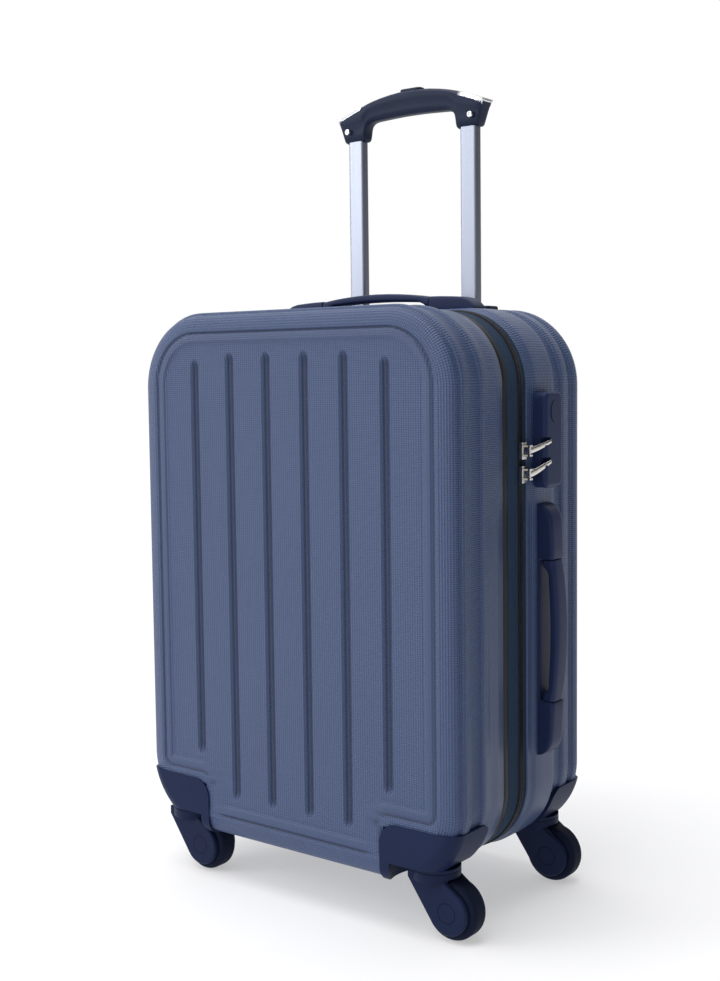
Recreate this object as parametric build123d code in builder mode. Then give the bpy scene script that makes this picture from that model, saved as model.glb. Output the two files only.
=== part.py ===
from build123d import *
import os

# Hard shell cabin suitcase on four swivelling casters, standing upright with its telescopic
# trolley handle pulled out to the first stop. Millimetres, +Z up, the floor at Z = 0.
# X runs across the front face, with the lock and side handle on the +X side, and the front
# face looks along -Y. The two halves part at Y = 0; the front half is the lid, hinged on -X.

# ---------------------------------------------------------------- driving sizes: the case
CASE_WIDTH = 370.0
CASE_HEIGHT = 503.5
CASE_BELOW_WHEEL_TOP = 8.5
FRONT_DEPTH = 110.0
REAR_DEPTH = 110.0
CORNER_RADIUS = 72.0
FRONT_EDGE_RADIUS = 10.0
REAR_EDGE_RADIUS = 14.0
HOUSING_EDGE_RADIUS = 14.0
WALL = 2.5
RIB_HEIGHT = 3.0
FIT = 0.2

# Ribs that run round the sides, as distances from each half's own face
FRONT_RIBS = ((11.4, 23.4), (40.4, 51.4))
REAR_RIBS = ((0.0, 21.0), (31.0, 44.0), (57.0, 96.0))
FRONT_RIM = 32.0
REAR_RIM = 8.0

# Pressed ribs on the two faces
GROOVE_PITCH = 45.0
GROOVE_WIDTH = 9.0
GROOVE_DEPTH = 4.0
GROOVE_TOP = 38.0
GROOVE_BOTTOM = 38.0
OUTER_GROOVE_TOP = 43.0
OUTER_GROOVE_BOTTOM = 76.5
PANEL_MARGIN = 23.0
PANEL_HEAD = 19.5
PANEL_BASE = 21.5
PANEL_NOTCH_WIDTH = 67.0
PANEL_NOTCH_HEIGHT = 38.0
PANEL_NOTCH_RADIUS = 8.0
PANEL_STEP_RADIUS = 18.0
PANEL_LINE_WIDTH = 3.0
PANEL_LINE_DEPTH = 1.5

# Closure between the halves
PIPING_WIDTH = 10.0
TAPE_THICKNESS = 1.2
TEETH_WIDTH = 3.0
TEETH_HEIGHT = 1.6
TEETH_CENTRE = -1.0
TEETH_GAP = 0.3

# Wheel housings and casters
HOUSING_WIDTH = 82.0
HOUSING_DEPTH = 53.0
HOUSING_HEIGHT = 54.0
HOUSING_RADIUS = 18.0
HOUSING_PROUD = 1.2
HOUSING_SKIN = 2.5
HOUSING_FLOOR_ABOVE_WHEEL = 10.0
HOUSING_FLOOR_THICKNESS = 3.0
WELL_INSIDE_SWEEP = 4.0
SWIVEL_INSET_X = 38.6
SWIVEL_INSET_Y = 24.7
WHEEL_RADIUS = 26.0
WHEEL_WIDTH = 20.0
TYRE_THICKNESS = 6.5
CORE_WIDTH = 18.0
TRAIL = 20.0
COLLAR_RADIUS = 21.5
COLLAR_TOP_ABOVE_WHEEL = 6.5
COLLAR_BOTTOM_BELOW_WHEEL = 2.0
COLLAR_CLEARANCE = 0.5
BOSS_RADIUS = 21.5
ARM_INSIDE_WHEEL = 6.0
ARM_THICKNESS = 4.2
WHEEL_SIDE_CLEARANCE = 0.8
WHEEL_TREAD_CLEARANCE = 1.3
AXLE_RADIUS = 3.0
PIN_RADIUS = 4.0
PIN_HEAD_RADIUS = 7.0
PIN_HEAD_THICKNESS = 1.8
RUNNING_CLEARANCE = 0.05
AXLE_SKIN = 1.0

# Telescopic trolley handle
TUBE_SPACING = 138.0
TUBE_DEPTH_Y = 94.0
INNER_TUBE = (19.5, 10.0)
MIDDLE_TUBE = (22.5, 13.0)
OUTER_TUBE = (25.5, 16.0)
TUBE_WALL = 1.2
TUBE_CORNER = 3.0
TROLLEY_OPEN = 170.0
INNER_TUBE_LENGTH = 485.0
OUTER_TUBE_LIFT = 16.5
FOOT_BLOCK_SKIN = 2.5
SCREW_RADIUS = 2.0
SCREW_LENGTH = 12.0
SCREW_HEAD = (3.6, 1.8)
BEZEL_WIDTH = 190.0
BEZEL_DEPTH = 22.0
BEZEL_RISE = 5.0
BEZEL_DROP = 12.0
COLLAR_RISE = 2.5
GRIP_WIDTH = 178.0
GRIP_DEPTH = 22.0
GRIP_RISE = 26.0
GRIP_ARCH = 19.0
GRIP_SEAT = 3.0
LEG_HEIGHT = 19.0
LEG_WIDTH = 26.0
LEG_DEPTH = 14.5
TRIM_LENGTH = 27.0
TRIM_HEIGHT = 5.0
BUTTON_LENGTH = 26.0
BUTTON_WIDTH = 12.0
BUTTON_RISE = 1.6
BUTTON_TRAVEL = 3.0
RELEASE_BAR = (5.0, 3.0)
RELEASE_ROD_RADIUS = 2.0
RIVET_RADIUS = 1.6
RIVET_HEAD_RADIUS = 3.0
RIVET_HEAD_RISE = 0.7

# Lock and zip pulls
LOCK_HEIGHT = 86.0
LOCK_BELOW_TOP = 120.0
LOCK_WIDTH = 31.0
LOCK_FRONT_Y = 15.0
LOCK_RISE = 13.0
LOCK_EDGE = 4.0
LOCK_ROOT_DEPTH = 5.5
LOCK_ROOT_MARGIN = 4.0
PULL_SLOTS = (-1.0, -19.0)
PULL_RISES = (8.0, 11.0)
PULL_SLOT_HEIGHT = 7.0
PULL_SLOT_LENGTH = 9.0
PULL_SLOT_DEPTH = 6.0
RELEASE_OVAL = (12.6, 19.0)
RELEASE_ABOVE = 25.0
RELEASE_TRAVEL = 1.5
RELEASE_RISE = 0.6
SLIDER_LENGTH = 15.0
SLIDER_WIDTH = 8.0
SLIDER_HEIGHT = 4.0
PULL_LENGTH = 22.0
PULL_WIDTH = 6.0
PULL_THICKNESS = 1.5
PULL_PIN_RADIUS = 0.8
PULL_EYE_RADIUS = 1.6
PULL_RUN = (0.4695, 0.8829, 0)
PULL_NORMAL = (0.8829, -0.4695, 0)

# Carry handles
HANDLE_LENGTH = 230.0
HANDLE_WIDTH = 22.0
HANDLE_SIDE_Y = 33.0
HANDLE_BELOW_LOCK = 15.0
HANDLE_TOP_Y = 37.0
HANDLE_END = 50.0
HANDLE_RISES = {"side": (16.0, 5.0), "top": (13.0, 4.8)}
HANDLE_BAR = {"side": 9.5, "top": 8.0}
HANDLE_SAG = 2.0
HANDLE_EDGE = 3.0
HANDLE_NOSE = 16.0
HANDLE_NOSE_DROP = 1.5
HANDLE_BASE = 2.0
HANDLE_TRAVEL = 3.0
HANDLE_TONGUE = 3.0
HANDLE_TONGUE_LENGTH = 34.0
HANDLE_TONGUE_WIDTH = 14.0

# Feet, lining and straps
FOOT_HEIGHT = 32.0
FOOT_WIDTH = 10.0
FOOT_RISE = 5.0
FOOT_ABOVE_BOTTOM = 124.5
FOOT_BELOW_TOP = 113.0
LINING = 1.2
LINING_GAP = 0.8
LINING_RIM = 12.0
STRAP_WIDTH = 25.0
STRAP_THICKNESS = 1.5
BUCKLE = (62.0, 9.0, 38.0)
HINGE_STRIP_END = 14.75
HINGE_STRIP_THICKNESS = 1.0
POCKET = (290.0, 1.4, 190.0)

# ---------------------------------------------------------------- sizes that follow
WHEEL_TOP = 2 * WHEEL_RADIUS
CORE_RADIUS = WHEEL_RADIUS - TYRE_THICKNESS
ARM_RADIUS = WHEEL_RADIUS - ARM_INSIDE_WHEEL
CASE_BOTTOM = WHEEL_TOP - CASE_BELOW_WHEEL_TOP
HOUSING_TOP = CASE_BOTTOM + HOUSING_HEIGHT
HOUSING_FLOOR = WHEEL_TOP + HOUSING_FLOOR_ABOVE_WHEEL
COLLAR_TOP = WHEEL_TOP + COLLAR_TOP_ABOVE_WHEEL
COLLAR_BOTTOM = WHEEL_TOP - COLLAR_BOTTOM_BELOW_WHEEL
WELL_RADIUS = TRAIL + WHEEL_RADIUS - WELL_INSIDE_SWEEP
OUTER_TUBE_FOOT = CASE_BOTTOM + OUTER_TUBE_LIFT
SIDE_X = CASE_WIDTH / 2
CASE_TOP = CASE_BOTTOM + CASE_HEIGHT
MIDDLE_Z = CASE_BOTTOM + CASE_HEIGHT / 2
LOCK_CENTRE_Z = CASE_TOP - LOCK_BELOW_TOP
HANDLE_SIDE_Z = LOCK_CENTRE_Z - (LOCK_HEIGHT + HANDLE_LENGTH) / 2 - HANDLE_BELOW_LOCK
FOOT_Z = (CASE_BOTTOM + FOOT_ABOVE_BOTTOM, CASE_TOP - FOOT_BELOW_TOP)
HINGE_STRIP_LENGTH = CASE_HEIGHT - 2 * CORNER_RADIUS - 2 * HINGE_STRIP_END
SWIVEL_X = SIDE_X - SWIVEL_INSET_X
SWIVEL_FRONT_Y = -FRONT_DEPTH + SWIVEL_INSET_Y
SWIVEL_REAR_Y = REAR_DEPTH - SWIVEL_INSET_Y
TUBE_X = TUBE_SPACING / 2
TAPE_INSET = RIB_HEIGHT + WALL - TAPE_THICKNESS
GRIP_FOOT_Z = CASE_TOP + BEZEL_RISE + GRIP_SEAT + TROLLEY_OPEN
GRIP_UNDER_Z = GRIP_FOOT_Z + LEG_HEIGHT
GRIP_TOP_Z = GRIP_UNDER_Z + GRIP_RISE
FORK_HALF = WHEEL_WIDTH / 2 + WHEEL_SIDE_CLEARANCE + ARM_THICKNESS
WHEEL_SPACE_HALF = WHEEL_WIDTH / 2 + WHEEL_SIDE_CLEARANCE
PULL_X = SIDE_X + 4.0
PULL_Y = 3.0
HALF_LENGTH = HANDLE_LENGTH / 2
LINING_FRONT = FRONT_DEPTH - WALL - GROOVE_DEPTH - LINING_GAP
FOOT_BLOCK_FRONT = TUBE_DEPTH_Y - OUTER_TUBE[1] / 2 - FOOT_BLOCK_SKIN
LINING_REAR = FOOT_BLOCK_FRONT - SCREW_HEAD[1] - LINING_GAP

CASTERS = {
    "front_left": (-SWIVEL_X, SWIVEL_FRONT_Y),
    "front_right": (SWIVEL_X, SWIVEL_FRONT_Y),
    "rear_left": (-SWIVEL_X, SWIVEL_REAR_Y),
    "rear_right": (SWIVEL_X, SWIVEL_REAR_Y),
}

os.makedirs("parts", exist_ok=True)


def save(piece, name):
    """Label a finished piece and write it as its own STEP file."""
    piece.part.label = name
    export_step(piece.part, f"parts/{name}.step")


def slab(y_from, y_to, inset, mode=Mode.ADD):
    """A slice of the case between two depths, with its outline moved in by inset."""
    with BuildSketch(Plane.XZ.offset(-y_to)) as outline:
        with Locations((0, MIDDLE_Z)):
            RectangleRounded(
                CASE_WIDTH - 2 * inset, CASE_HEIGHT - 2 * inset, CORNER_RADIUS - inset
            )
    extrude(outline.sketch, amount=y_to - y_from, mode=mode)


def block(x_range, y_range, z_range, mode=Mode.ADD):
    """An upright box between two corners."""
    centre = [(a + b) / 2 for a, b in (x_range, y_range, z_range)]
    with Locations(tuple(centre)):
        Box(*[abs(b - a) for a, b in (x_range, y_range, z_range)], mode=mode)


def ribbed_block(side, depth, rim, ribs, edge_radius, wall):
    """One ribbed half as a solid: low flanks, with full-size slices where the ribs run.

    side is -1 for the front half and 1 for the rear half. wall moves every face inwards, so
    that the same shape also serves for the inside of the pressed sheet.
    """
    with BuildPart() as solid:
        slab(*sorted((side * (depth - wall), side * rim)), RIB_HEIGHT + wall)
        face = solid.faces().sort_by(Axis.Y)[-1 if side > 0 else 0]
        if ribs[0][0] > 0:
            fillet(face.edges(), edge_radius - wall)
        for start, end in ribs:
            near = depth - min(end - wall, depth - rim)
            far = depth - max(start, 0) - wall
            slab(*sorted((side * near, side * far)), wall)
        if ribs[0][0] == 0:
            face = solid.faces().sort_by(Axis.Y)[-1 if side > 0 else 0]
            fillet(face.edges(), edge_radius - wall)
    return solid.part


def pocket_bounds(corner, grow):
    """The box that a wheel housing fills in the bottom corner of a half, grown by grow."""
    x_side = 1 if CASTERS[corner][0] > 0 else -1
    y_side = 1 if CASTERS[corner][1] > 0 else -1
    depth = REAR_DEPTH if y_side > 0 else FRONT_DEPTH
    x_range = sorted((x_side * (SIDE_X - HOUSING_WIDTH - grow), x_side * (SIDE_X + 20)))
    y_range = sorted((y_side * (depth - HOUSING_DEPTH - grow), y_side * (depth + 20)))
    return x_range, y_range, (CASE_BOTTOM - 20, HOUSING_TOP + grow)


def corner_block(corner, grow, mode=Mode.ADD):
    """The rounded block of a wheel housing, without the case's own outline."""
    x_range, y_range, z_range = pocket_bounds(corner, grow)
    block(x_range, y_range, z_range, mode)


def rounded_corner_block(corner, grow):
    """The housing block with its two inner top edges rounded, as a separate solid."""
    x_range, y_range, z_range = pocket_bounds(corner, grow)
    with BuildPart() as shape:
        block(x_range, y_range, z_range)
        top = shape.edges().filter_by(Axis.Y).group_by(Axis.Z)[-1]
        inner = top.sort_by(lambda edge: abs(edge.center().X))[0]
        fillet(inner, HOUSING_RADIUS)
        top = shape.faces().sort_by(Axis.Z)[-1].edges().filter_by(Axis.X)
        inner = top.sort_by(lambda edge: abs(edge.center().Y))[0]
        fillet(inner, HOUSING_RADIUS * 0.6)
    return shape.part


def well(corner, grow, mode=Mode.SUBTRACT):
    """The round recess in which a caster swivels."""
    x, y = CASTERS[corner]
    top = HOUSING_FLOOR + grow
    with Locations((x, y, top)):
        Cylinder(WELL_RADIUS + grow, 60, align=(Align.CENTER, Align.CENTER, Align.MAX), mode=mode)


def face_grooves(side, depth, places, grow, mode):
    """The upright pressed ribs of a face, as rounded slots sunk by GROOVE_DEPTH."""
    plane_y = side * (depth - GROOVE_DEPTH - grow)
    for place in places:
        outer = abs(place) > 2 * GROOVE_PITCH
        top = CASE_TOP - (OUTER_GROOVE_TOP if outer else GROOVE_TOP)
        bottom = CASE_BOTTOM + (OUTER_GROOVE_BOTTOM if outer else GROOVE_BOTTOM)
        with BuildSketch(Plane.XZ.offset(-plane_y)) as slot:
            with Locations((place, (top + bottom) / 2)):
                SlotOverall(top - bottom + 2 * grow, GROOVE_WIDTH + 2 * grow, rotation=90)
        extrude(slot.sketch, amount=-side * (GROOVE_DEPTH + grow + 1), mode=mode)


def panel_outline(grow):
    """The front panel, stepped round each wheel housing, with its edge moved out by grow."""
    half = SIDE_X - PANEL_MARGIN + grow
    low = CASE_BOTTOM + PANEL_BASE - grow
    high = CASE_TOP - PANEL_HEAD + grow
    inner = half - PANEL_NOTCH_WIDTH
    ledge = low + PANEL_NOTCH_HEIGHT
    with BuildSketch(Plane.XZ.offset(FRONT_DEPTH - PANEL_LINE_DEPTH)) as panel:
        with BuildLine():
            Polyline((-inner, low), (inner, low), (inner, ledge), (half, ledge), (half, high),
                     (-half, high), (-half, ledge), (-inner, ledge), close=True)
        make_face()
        fillet(panel.vertices().group_by(Axis.Y)[-1], CORNER_RADIUS - PANEL_MARGIN + grow)
        fillet(panel.vertices().group_by(Axis.Y)[0], PANEL_NOTCH_RADIUS + grow)
        corners = [v for v in panel.vertices() if abs(v.Y - ledge) < 0.01]
        fillet([v for v in corners if abs(abs(v.X) - inner) < 0.01], PANEL_STEP_RADIUS - grow)
        fillet([v for v in corners if abs(abs(v.X) - half) < 0.01], PANEL_NOTCH_RADIUS + grow)
    return panel.sketch


FRONT_GROOVES = [GROOVE_PITCH * (i - 2.5) for i in range(6)]
REAR_GROOVES = [GROOVE_PITCH * i for i in (-2.5, -0.5, 0.5, 2.5)]
FRONT_CORNERS = ("front_left", "front_right")
REAR_CORNERS = ("rear_left", "rear_right")


def half_shell(side, depth, rim, ribs, edge_radius, places, corners):
    """One pressed half of the case: the ribbed outside less the same shape one wall in."""
    pockets = [rounded_corner_block(corner, 0) for corner in corners]
    outside = ribbed_block(side, depth, rim, ribs, edge_radius, 0)
    inside = ribbed_block(side, depth, rim, ribs, edge_radius, WALL)
    with BuildPart() as room:
        add(inside)
        slab(*sorted((side * (rim - 1), side * (rim + 4))), RIB_HEIGHT + WALL)
        face_grooves(side, depth, places, WALL, Mode.SUBTRACT)
        for corner in corners:
            corner_block(corner, WALL, Mode.SUBTRACT)
            well(corner, WALL)
    with BuildPart() as shell:
        add(outside)
        face_grooves(side, depth, places, 0, Mode.SUBTRACT)
        add(room.part, mode=Mode.SUBTRACT)
        for corner, pocket in zip(corners, pockets):
            add(pocket, mode=Mode.SUBTRACT)
            well(corner, 0)
    return shell.part


# ---------------------------------------------------------------- the two shells
front_half = half_shell(
    -1, FRONT_DEPTH, FRONT_RIM, FRONT_RIBS, FRONT_EDGE_RADIUS, FRONT_GROOVES, FRONT_CORNERS
)
panel_outer = panel_outline(PANEL_LINE_WIDTH)
panel_inner = panel_outline(0)
with BuildPart() as front_shell:
    add(front_half)
    with BuildSketch(Plane.XZ.offset(FRONT_DEPTH - PANEL_LINE_DEPTH)) as panel_line:
        add(panel_outer)
        add(panel_inner, mode=Mode.SUBTRACT)
    extrude(panel_line.sketch, amount=PANEL_LINE_DEPTH + 1, mode=Mode.SUBTRACT)
save(front_shell, "front_shell")

LOCK_Y = LOCK_FRONT_Y + LOCK_WIDTH / 2
LOCK_ROOT_Y = LOCK_WIDTH - 2 * LOCK_ROOT_MARGIN
LOCK_ROOT_Z = LOCK_HEIGHT - 2 * LOCK_ROOT_MARGIN
rear_half = half_shell(
    1, REAR_DEPTH, REAR_RIM, REAR_RIBS, REAR_EDGE_RADIUS, REAR_GROOVES, REAR_CORNERS
)
with BuildPart() as rear_shell:
    add(rear_half)
    with Locations((SIDE_X, LOCK_Y, LOCK_CENTRE_Z)):
        Box(20, LOCK_ROOT_Y + 2 * FIT, LOCK_ROOT_Z + 2 * FIT, mode=Mode.SUBTRACT)
    with Locations((0, TUBE_DEPTH_Y, CASE_TOP)):
        Box(BEZEL_WIDTH + 2 * FIT, BEZEL_DEPTH + 2 * FIT, 30, mode=Mode.SUBTRACT)
save(rear_shell, "rear_shell")

# ---------------------------------------------------------------- closure
with BuildPart() as front_piping:
    slab(-FRONT_RIM, -FRONT_RIM + PIPING_WIDTH, RIB_HEIGHT + 0.5)
    slab(-FRONT_RIM, -FRONT_RIM + PIPING_WIDTH, RIB_HEIGHT + WALL, Mode.SUBTRACT)
save(front_piping, "front_piping")


def ring(name, y_from, y_to, outer, inner):
    """A band that follows the parting line."""
    with BuildPart() as band:
        slab(y_from, y_to, outer)
        slab(y_from, y_to, inner, Mode.SUBTRACT)
    save(band, name)


TEETH_OUTER = TAPE_INSET - TEETH_HEIGHT
TEETH_FRONT = TEETH_CENTRE - TEETH_GAP / 2
TEETH_REAR = TEETH_CENTRE + TEETH_GAP / 2
TAPE_INNER = TAPE_INSET + TAPE_THICKNESS
ring("front_zip_tape", -FRONT_RIM + PIPING_WIDTH, TEETH_FRONT - TEETH_WIDTH, TAPE_INSET, TAPE_INNER)
ring("front_zip_teeth", TEETH_FRONT - TEETH_WIDTH, TEETH_FRONT, TEETH_OUTER, TAPE_INNER)
ring("rear_zip_teeth", TEETH_REAR, TEETH_REAR + TEETH_WIDTH, TEETH_OUTER, TAPE_INNER)
ring("rear_zip_tape", TEETH_REAR + TEETH_WIDTH, REAR_RIM, TAPE_INSET, TAPE_INNER)

with BuildPart() as hinge_strip:
    strip_x = -SIDE_X + TAPE_INNER
    block((strip_x, strip_x + HINGE_STRIP_THICKNESS), (-9, 9),
          (MIDDLE_Z - HINGE_STRIP_LENGTH / 2, MIDDLE_Z + HINGE_STRIP_LENGTH / 2))
save(hinge_strip, "hinge_strip")

# ---------------------------------------------------------------- wheel housings
for corner, (swivel_x, swivel_y) in CASTERS.items():
    y_side = 1 if swivel_y > 0 else -1
    depth = REAR_DEPTH if y_side > 0 else FRONT_DEPTH
    x_side = 1 if swivel_x > 0 else -1
    corner_shape = rounded_corner_block(corner, -FIT)
    with BuildPart() as outer:
        slab(*sorted((y_side * (depth - HOUSING_DEPTH - 5), y_side * (depth + HOUSING_PROUD))),
             -HOUSING_PROUD)
        face = outer.faces().sort_by(Axis.Y)[-1 if y_side > 0 else 0]
        fillet(face.edges(), HOUSING_EDGE_RADIUS + HOUSING_PROUD)
    with BuildPart() as core:
        slab(*sorted((y_side * (depth - HOUSING_DEPTH - 5), y_side * (depth - HOUSING_SKIN))),
             HOUSING_SKIN)
        face = core.faces().sort_by(Axis.Y)[-1 if y_side > 0 else 0]
        fillet(face.edges(), HOUSING_EDGE_RADIUS - HOUSING_SKIN)
        block((-SIDE_X, SIDE_X), (-FRONT_DEPTH - 5, REAR_DEPTH + 5),
              (0, HOUSING_FLOOR + HOUSING_FLOOR_THICKNESS), Mode.SUBTRACT)
        block((-SIDE_X, SIDE_X), (-FRONT_DEPTH - 5, REAR_DEPTH + 5),
              (HOUSING_TOP - HOUSING_SKIN, CASE_TOP), Mode.SUBTRACT)
    with BuildPart() as housing:
        add(outer.part)
        add(corner_shape, mode=Mode.INTERSECT)
        add(core.part, mode=Mode.SUBTRACT)
        well(corner, 0)
        with Locations((swivel_x, swivel_y, COLLAR_TOP + COLLAR_CLEARANCE)):
            Cylinder(BOSS_RADIUS, HOUSING_FLOOR - COLLAR_TOP - COLLAR_CLEARANCE,
                     align=(Align.CENTER, Align.CENTER, Align.MIN))
        with Locations((swivel_x, swivel_y, HOUSING_FLOOR)):
            Cylinder(PIN_RADIUS, 20, mode=Mode.SUBTRACT)
    save(housing, f"housing_{corner}")


def swivel_pins(name, corners):
    """The riveted steel pins on which the forks turn, one to each housing."""
    low = HEAD_LOW
    high = HOUSING_FLOOR + HOUSING_FLOOR_THICKNESS
    with BuildPart() as pins:
        for corner in corners:
            x, y = CASTERS[corner]
            with Locations((x, y, low)):
                Cylinder(PIN_RADIUS, high - low, align=(Align.CENTER, Align.CENTER, Align.MIN))
                Cylinder(PIN_HEAD_RADIUS, PIN_HEAD_THICKNESS,
                         align=(Align.CENTER, Align.CENTER, Align.MIN))
            with Locations((x, y, high)):
                Cylinder(PIN_HEAD_RADIUS, PIN_HEAD_THICKNESS,
                         align=(Align.CENTER, Align.CENTER, Align.MIN))
    save(pins, name)


SHOULDER = COLLAR_BOTTOM + 1.0
HEAD_LOW = SHOULDER - FIT - PIN_HEAD_THICKNESS
swivel_pins("swivel_pins_front", FRONT_CORNERS)
swivel_pins("swivel_pins_rear", REAR_CORNERS)

# ---------------------------------------------------------------- casters
for corner, (swivel_x, swivel_y) in CASTERS.items():
    axle_x = swivel_x + TRAIL
    axle_plane = Plane.XZ.offset(-swivel_y)
    with BuildPart() as fork:
        with BuildSketch(axle_plane) as arm:
            with Locations((axle_x, WHEEL_RADIUS)):
                Circle(ARM_RADIUS)
            with Locations((swivel_x - COLLAR_RADIUS, COLLAR_BOTTOM)):
                Rectangle(COLLAR_RADIUS + 10, COLLAR_TOP - COLLAR_BOTTOM - 1,
                          align=(Align.MIN, Align.MIN))
            make_hull()
        extrude(arm.sketch, amount=FORK_HALF, both=True)
        fillet(fork.faces().filter_by(Axis.Y).edges(), 2.0)
        with Locations((swivel_x, swivel_y, COLLAR_BOTTOM)):
            Cylinder(COLLAR_RADIUS, COLLAR_TOP - COLLAR_BOTTOM,
                     align=(Align.CENTER, Align.CENTER, Align.MIN))
        with BuildSketch(axle_plane) as wheel_space:
            with Locations((axle_x, WHEEL_RADIUS)):
                Circle(WHEEL_RADIUS + WHEEL_TREAD_CLEARANCE)
        extrude(wheel_space.sketch, amount=WHEEL_SPACE_HALF, both=True, mode=Mode.SUBTRACT)
        with BuildSketch(axle_plane) as axle_hole:
            with Locations((axle_x, WHEEL_RADIUS)):
                Circle(AXLE_RADIUS)
        extrude(axle_hole.sketch, amount=FORK_HALF - AXLE_SKIN, both=True, mode=Mode.SUBTRACT)
        with Locations((swivel_x, swivel_y, SHOULDER)):
            Cylinder(PIN_RADIUS + RUNNING_CLEARANCE, 30,
                     align=(Align.CENTER, Align.CENTER, Align.MIN), mode=Mode.SUBTRACT)
            Cylinder(PIN_HEAD_RADIUS + 1, 12,
                     align=(Align.CENTER, Align.CENTER, Align.MAX), mode=Mode.SUBTRACT)
    save(fork, f"fork_{corner}")

    with BuildPart() as axle:
        with BuildSketch(axle_plane):
            with Locations((axle_x, WHEEL_RADIUS)):
                Circle(AXLE_RADIUS)
        extrude(amount=FORK_HALF - AXLE_SKIN, both=True)
    save(axle, f"axle_{corner}")

    with BuildPart() as wheel_core:
        with BuildSketch(axle_plane):
            with Locations((axle_x, WHEEL_RADIUS)):
                Circle(CORE_RADIUS)
                Circle(AXLE_RADIUS + RUNNING_CLEARANCE, mode=Mode.SUBTRACT)
        extrude(amount=CORE_WIDTH / 2, both=True)
    save(wheel_core, f"wheel_core_{corner}")

    with BuildPart() as tyre:
        with BuildSketch(axle_plane):
            with Locations((axle_x, WHEEL_RADIUS)):
                Circle(WHEEL_RADIUS)
        extrude(amount=WHEEL_WIDTH / 2, both=True)
        fillet(tyre.edges(), 5.0)
        with BuildSketch(axle_plane):
            with Locations((axle_x, WHEEL_RADIUS)):
                Circle(CORE_RADIUS)
        extrude(amount=WHEEL_WIDTH, both=True, mode=Mode.SUBTRACT)
    save(tyre, f"tyre_{corner}")

# ---------------------------------------------------------------- trolley tubes
TUBE_PLACES = [(-TUBE_X, TUBE_DEPTH_Y), (TUBE_X, TUBE_DEPTH_Y)]
MIDDLE_FOOT = OUTER_TUBE_FOOT + 4.0
MIDDLE_HEAD = CASE_TOP + BEZEL_RISE - COLLAR_RISE
INNER_HEAD = GRIP_UNDER_Z - 4.0
INNER_FOOT = INNER_HEAD - INNER_TUBE_LENGTH


def tubes(name, section, low, high):
    """A pair of rounded tubes, one for each side of the trolley."""
    with BuildPart() as pair:
        with BuildSketch(Plane.XY.offset(low)):
            with Locations(*TUBE_PLACES):
                RectangleRounded(section[0], section[1], TUBE_CORNER)
                RectangleRounded(section[0] - 2 * TUBE_WALL, section[1] - 2 * TUBE_WALL,
                                 TUBE_CORNER - TUBE_WALL, mode=Mode.SUBTRACT)
        extrude(amount=high - low)
    save(pair, name)


tubes("trolley_outer_tubes", OUTER_TUBE, OUTER_TUBE_FOOT, CASE_TOP - 1.0)
tubes("trolley_middle_tubes", MIDDLE_TUBE, MIDDLE_FOOT, MIDDLE_HEAD)
tubes("trolley_inner_tubes", INNER_TUBE, INNER_FOOT, INNER_HEAD)

with BuildPart() as middle_tube_caps:
    with BuildSketch(Plane.XY.offset(MIDDLE_HEAD)):
        with Locations(*TUBE_PLACES):
            RectangleRounded(*MIDDLE_TUBE, TUBE_CORNER)
            RectangleRounded(INNER_TUBE[0] + 2 * FIT, INNER_TUBE[1] + 2 * FIT, TUBE_CORNER,
                             mode=Mode.SUBTRACT)
    extrude(amount=COLLAR_RISE)
save(middle_tube_caps, "middle_tube_caps")

with BuildPart() as trolley_bezel:
    with BuildSketch(Plane.XY.offset(CASE_TOP - BEZEL_DROP)):
        with Locations((0, TUBE_DEPTH_Y)):
            RectangleRounded(BEZEL_WIDTH, BEZEL_DEPTH, 5)
    extrude(amount=BEZEL_DROP + BEZEL_RISE)
    fillet(trolley_bezel.faces().sort_by(Axis.Z)[-1].edges(), 2.0)
    for hole, high in ((OUTER_TUBE, CASE_TOP - 1.0), (MIDDLE_TUBE, CASE_TOP + BEZEL_RISE + 1)):
        with BuildSketch(Plane.XY.offset(CASE_TOP - BEZEL_DROP - 1)) as sockets:
            with Locations(*TUBE_PLACES):
                RectangleRounded(hole[0] + 2 * FIT, hole[1] + 2 * FIT, TUBE_CORNER)
        extrude(sockets.sketch, amount=high - CASE_TOP + BEZEL_DROP + 1, mode=Mode.SUBTRACT)
save(trolley_bezel, "trolley_bezel")

FOOT_BLOCK_BOTTOM = CASE_BOTTOM + RIB_HEIGHT + WALL + FIT
FOOT_BLOCK_BACK = TUBE_DEPTH_Y + OUTER_TUBE[1] / 2 + 1.5
FOOT_BLOCK_TOP = OUTER_TUBE_FOOT + 14.0
SCREW_PLACES = [(x, z) for x in (-40, 40) for z in (FOOT_BLOCK_BOTTOM + 6, FOOT_BLOCK_TOP - 6)]
with BuildPart() as trolley_foot:
    block((-TUBE_X - 16, TUBE_X + 16), (FOOT_BLOCK_FRONT, FOOT_BLOCK_BACK),
          (FOOT_BLOCK_BOTTOM, FOOT_BLOCK_TOP))
    fillet(trolley_foot.edges().filter_by(Axis.Y), 3.0)
    with BuildSketch(Plane.XY.offset(OUTER_TUBE_FOOT)) as sockets:
        with Locations(*TUBE_PLACES):
            RectangleRounded(*OUTER_TUBE, TUBE_CORNER)
    extrude(sockets.sketch, amount=30, mode=Mode.SUBTRACT)
    with BuildSketch(Plane.XZ.offset(-FOOT_BLOCK_FRONT)) as screw_holes:
        with Locations(*SCREW_PLACES):
            Circle(SCREW_RADIUS)
    extrude(screw_holes.sketch, amount=-SCREW_LENGTH, mode=Mode.SUBTRACT)
save(trolley_foot, "trolley_foot")

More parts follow.
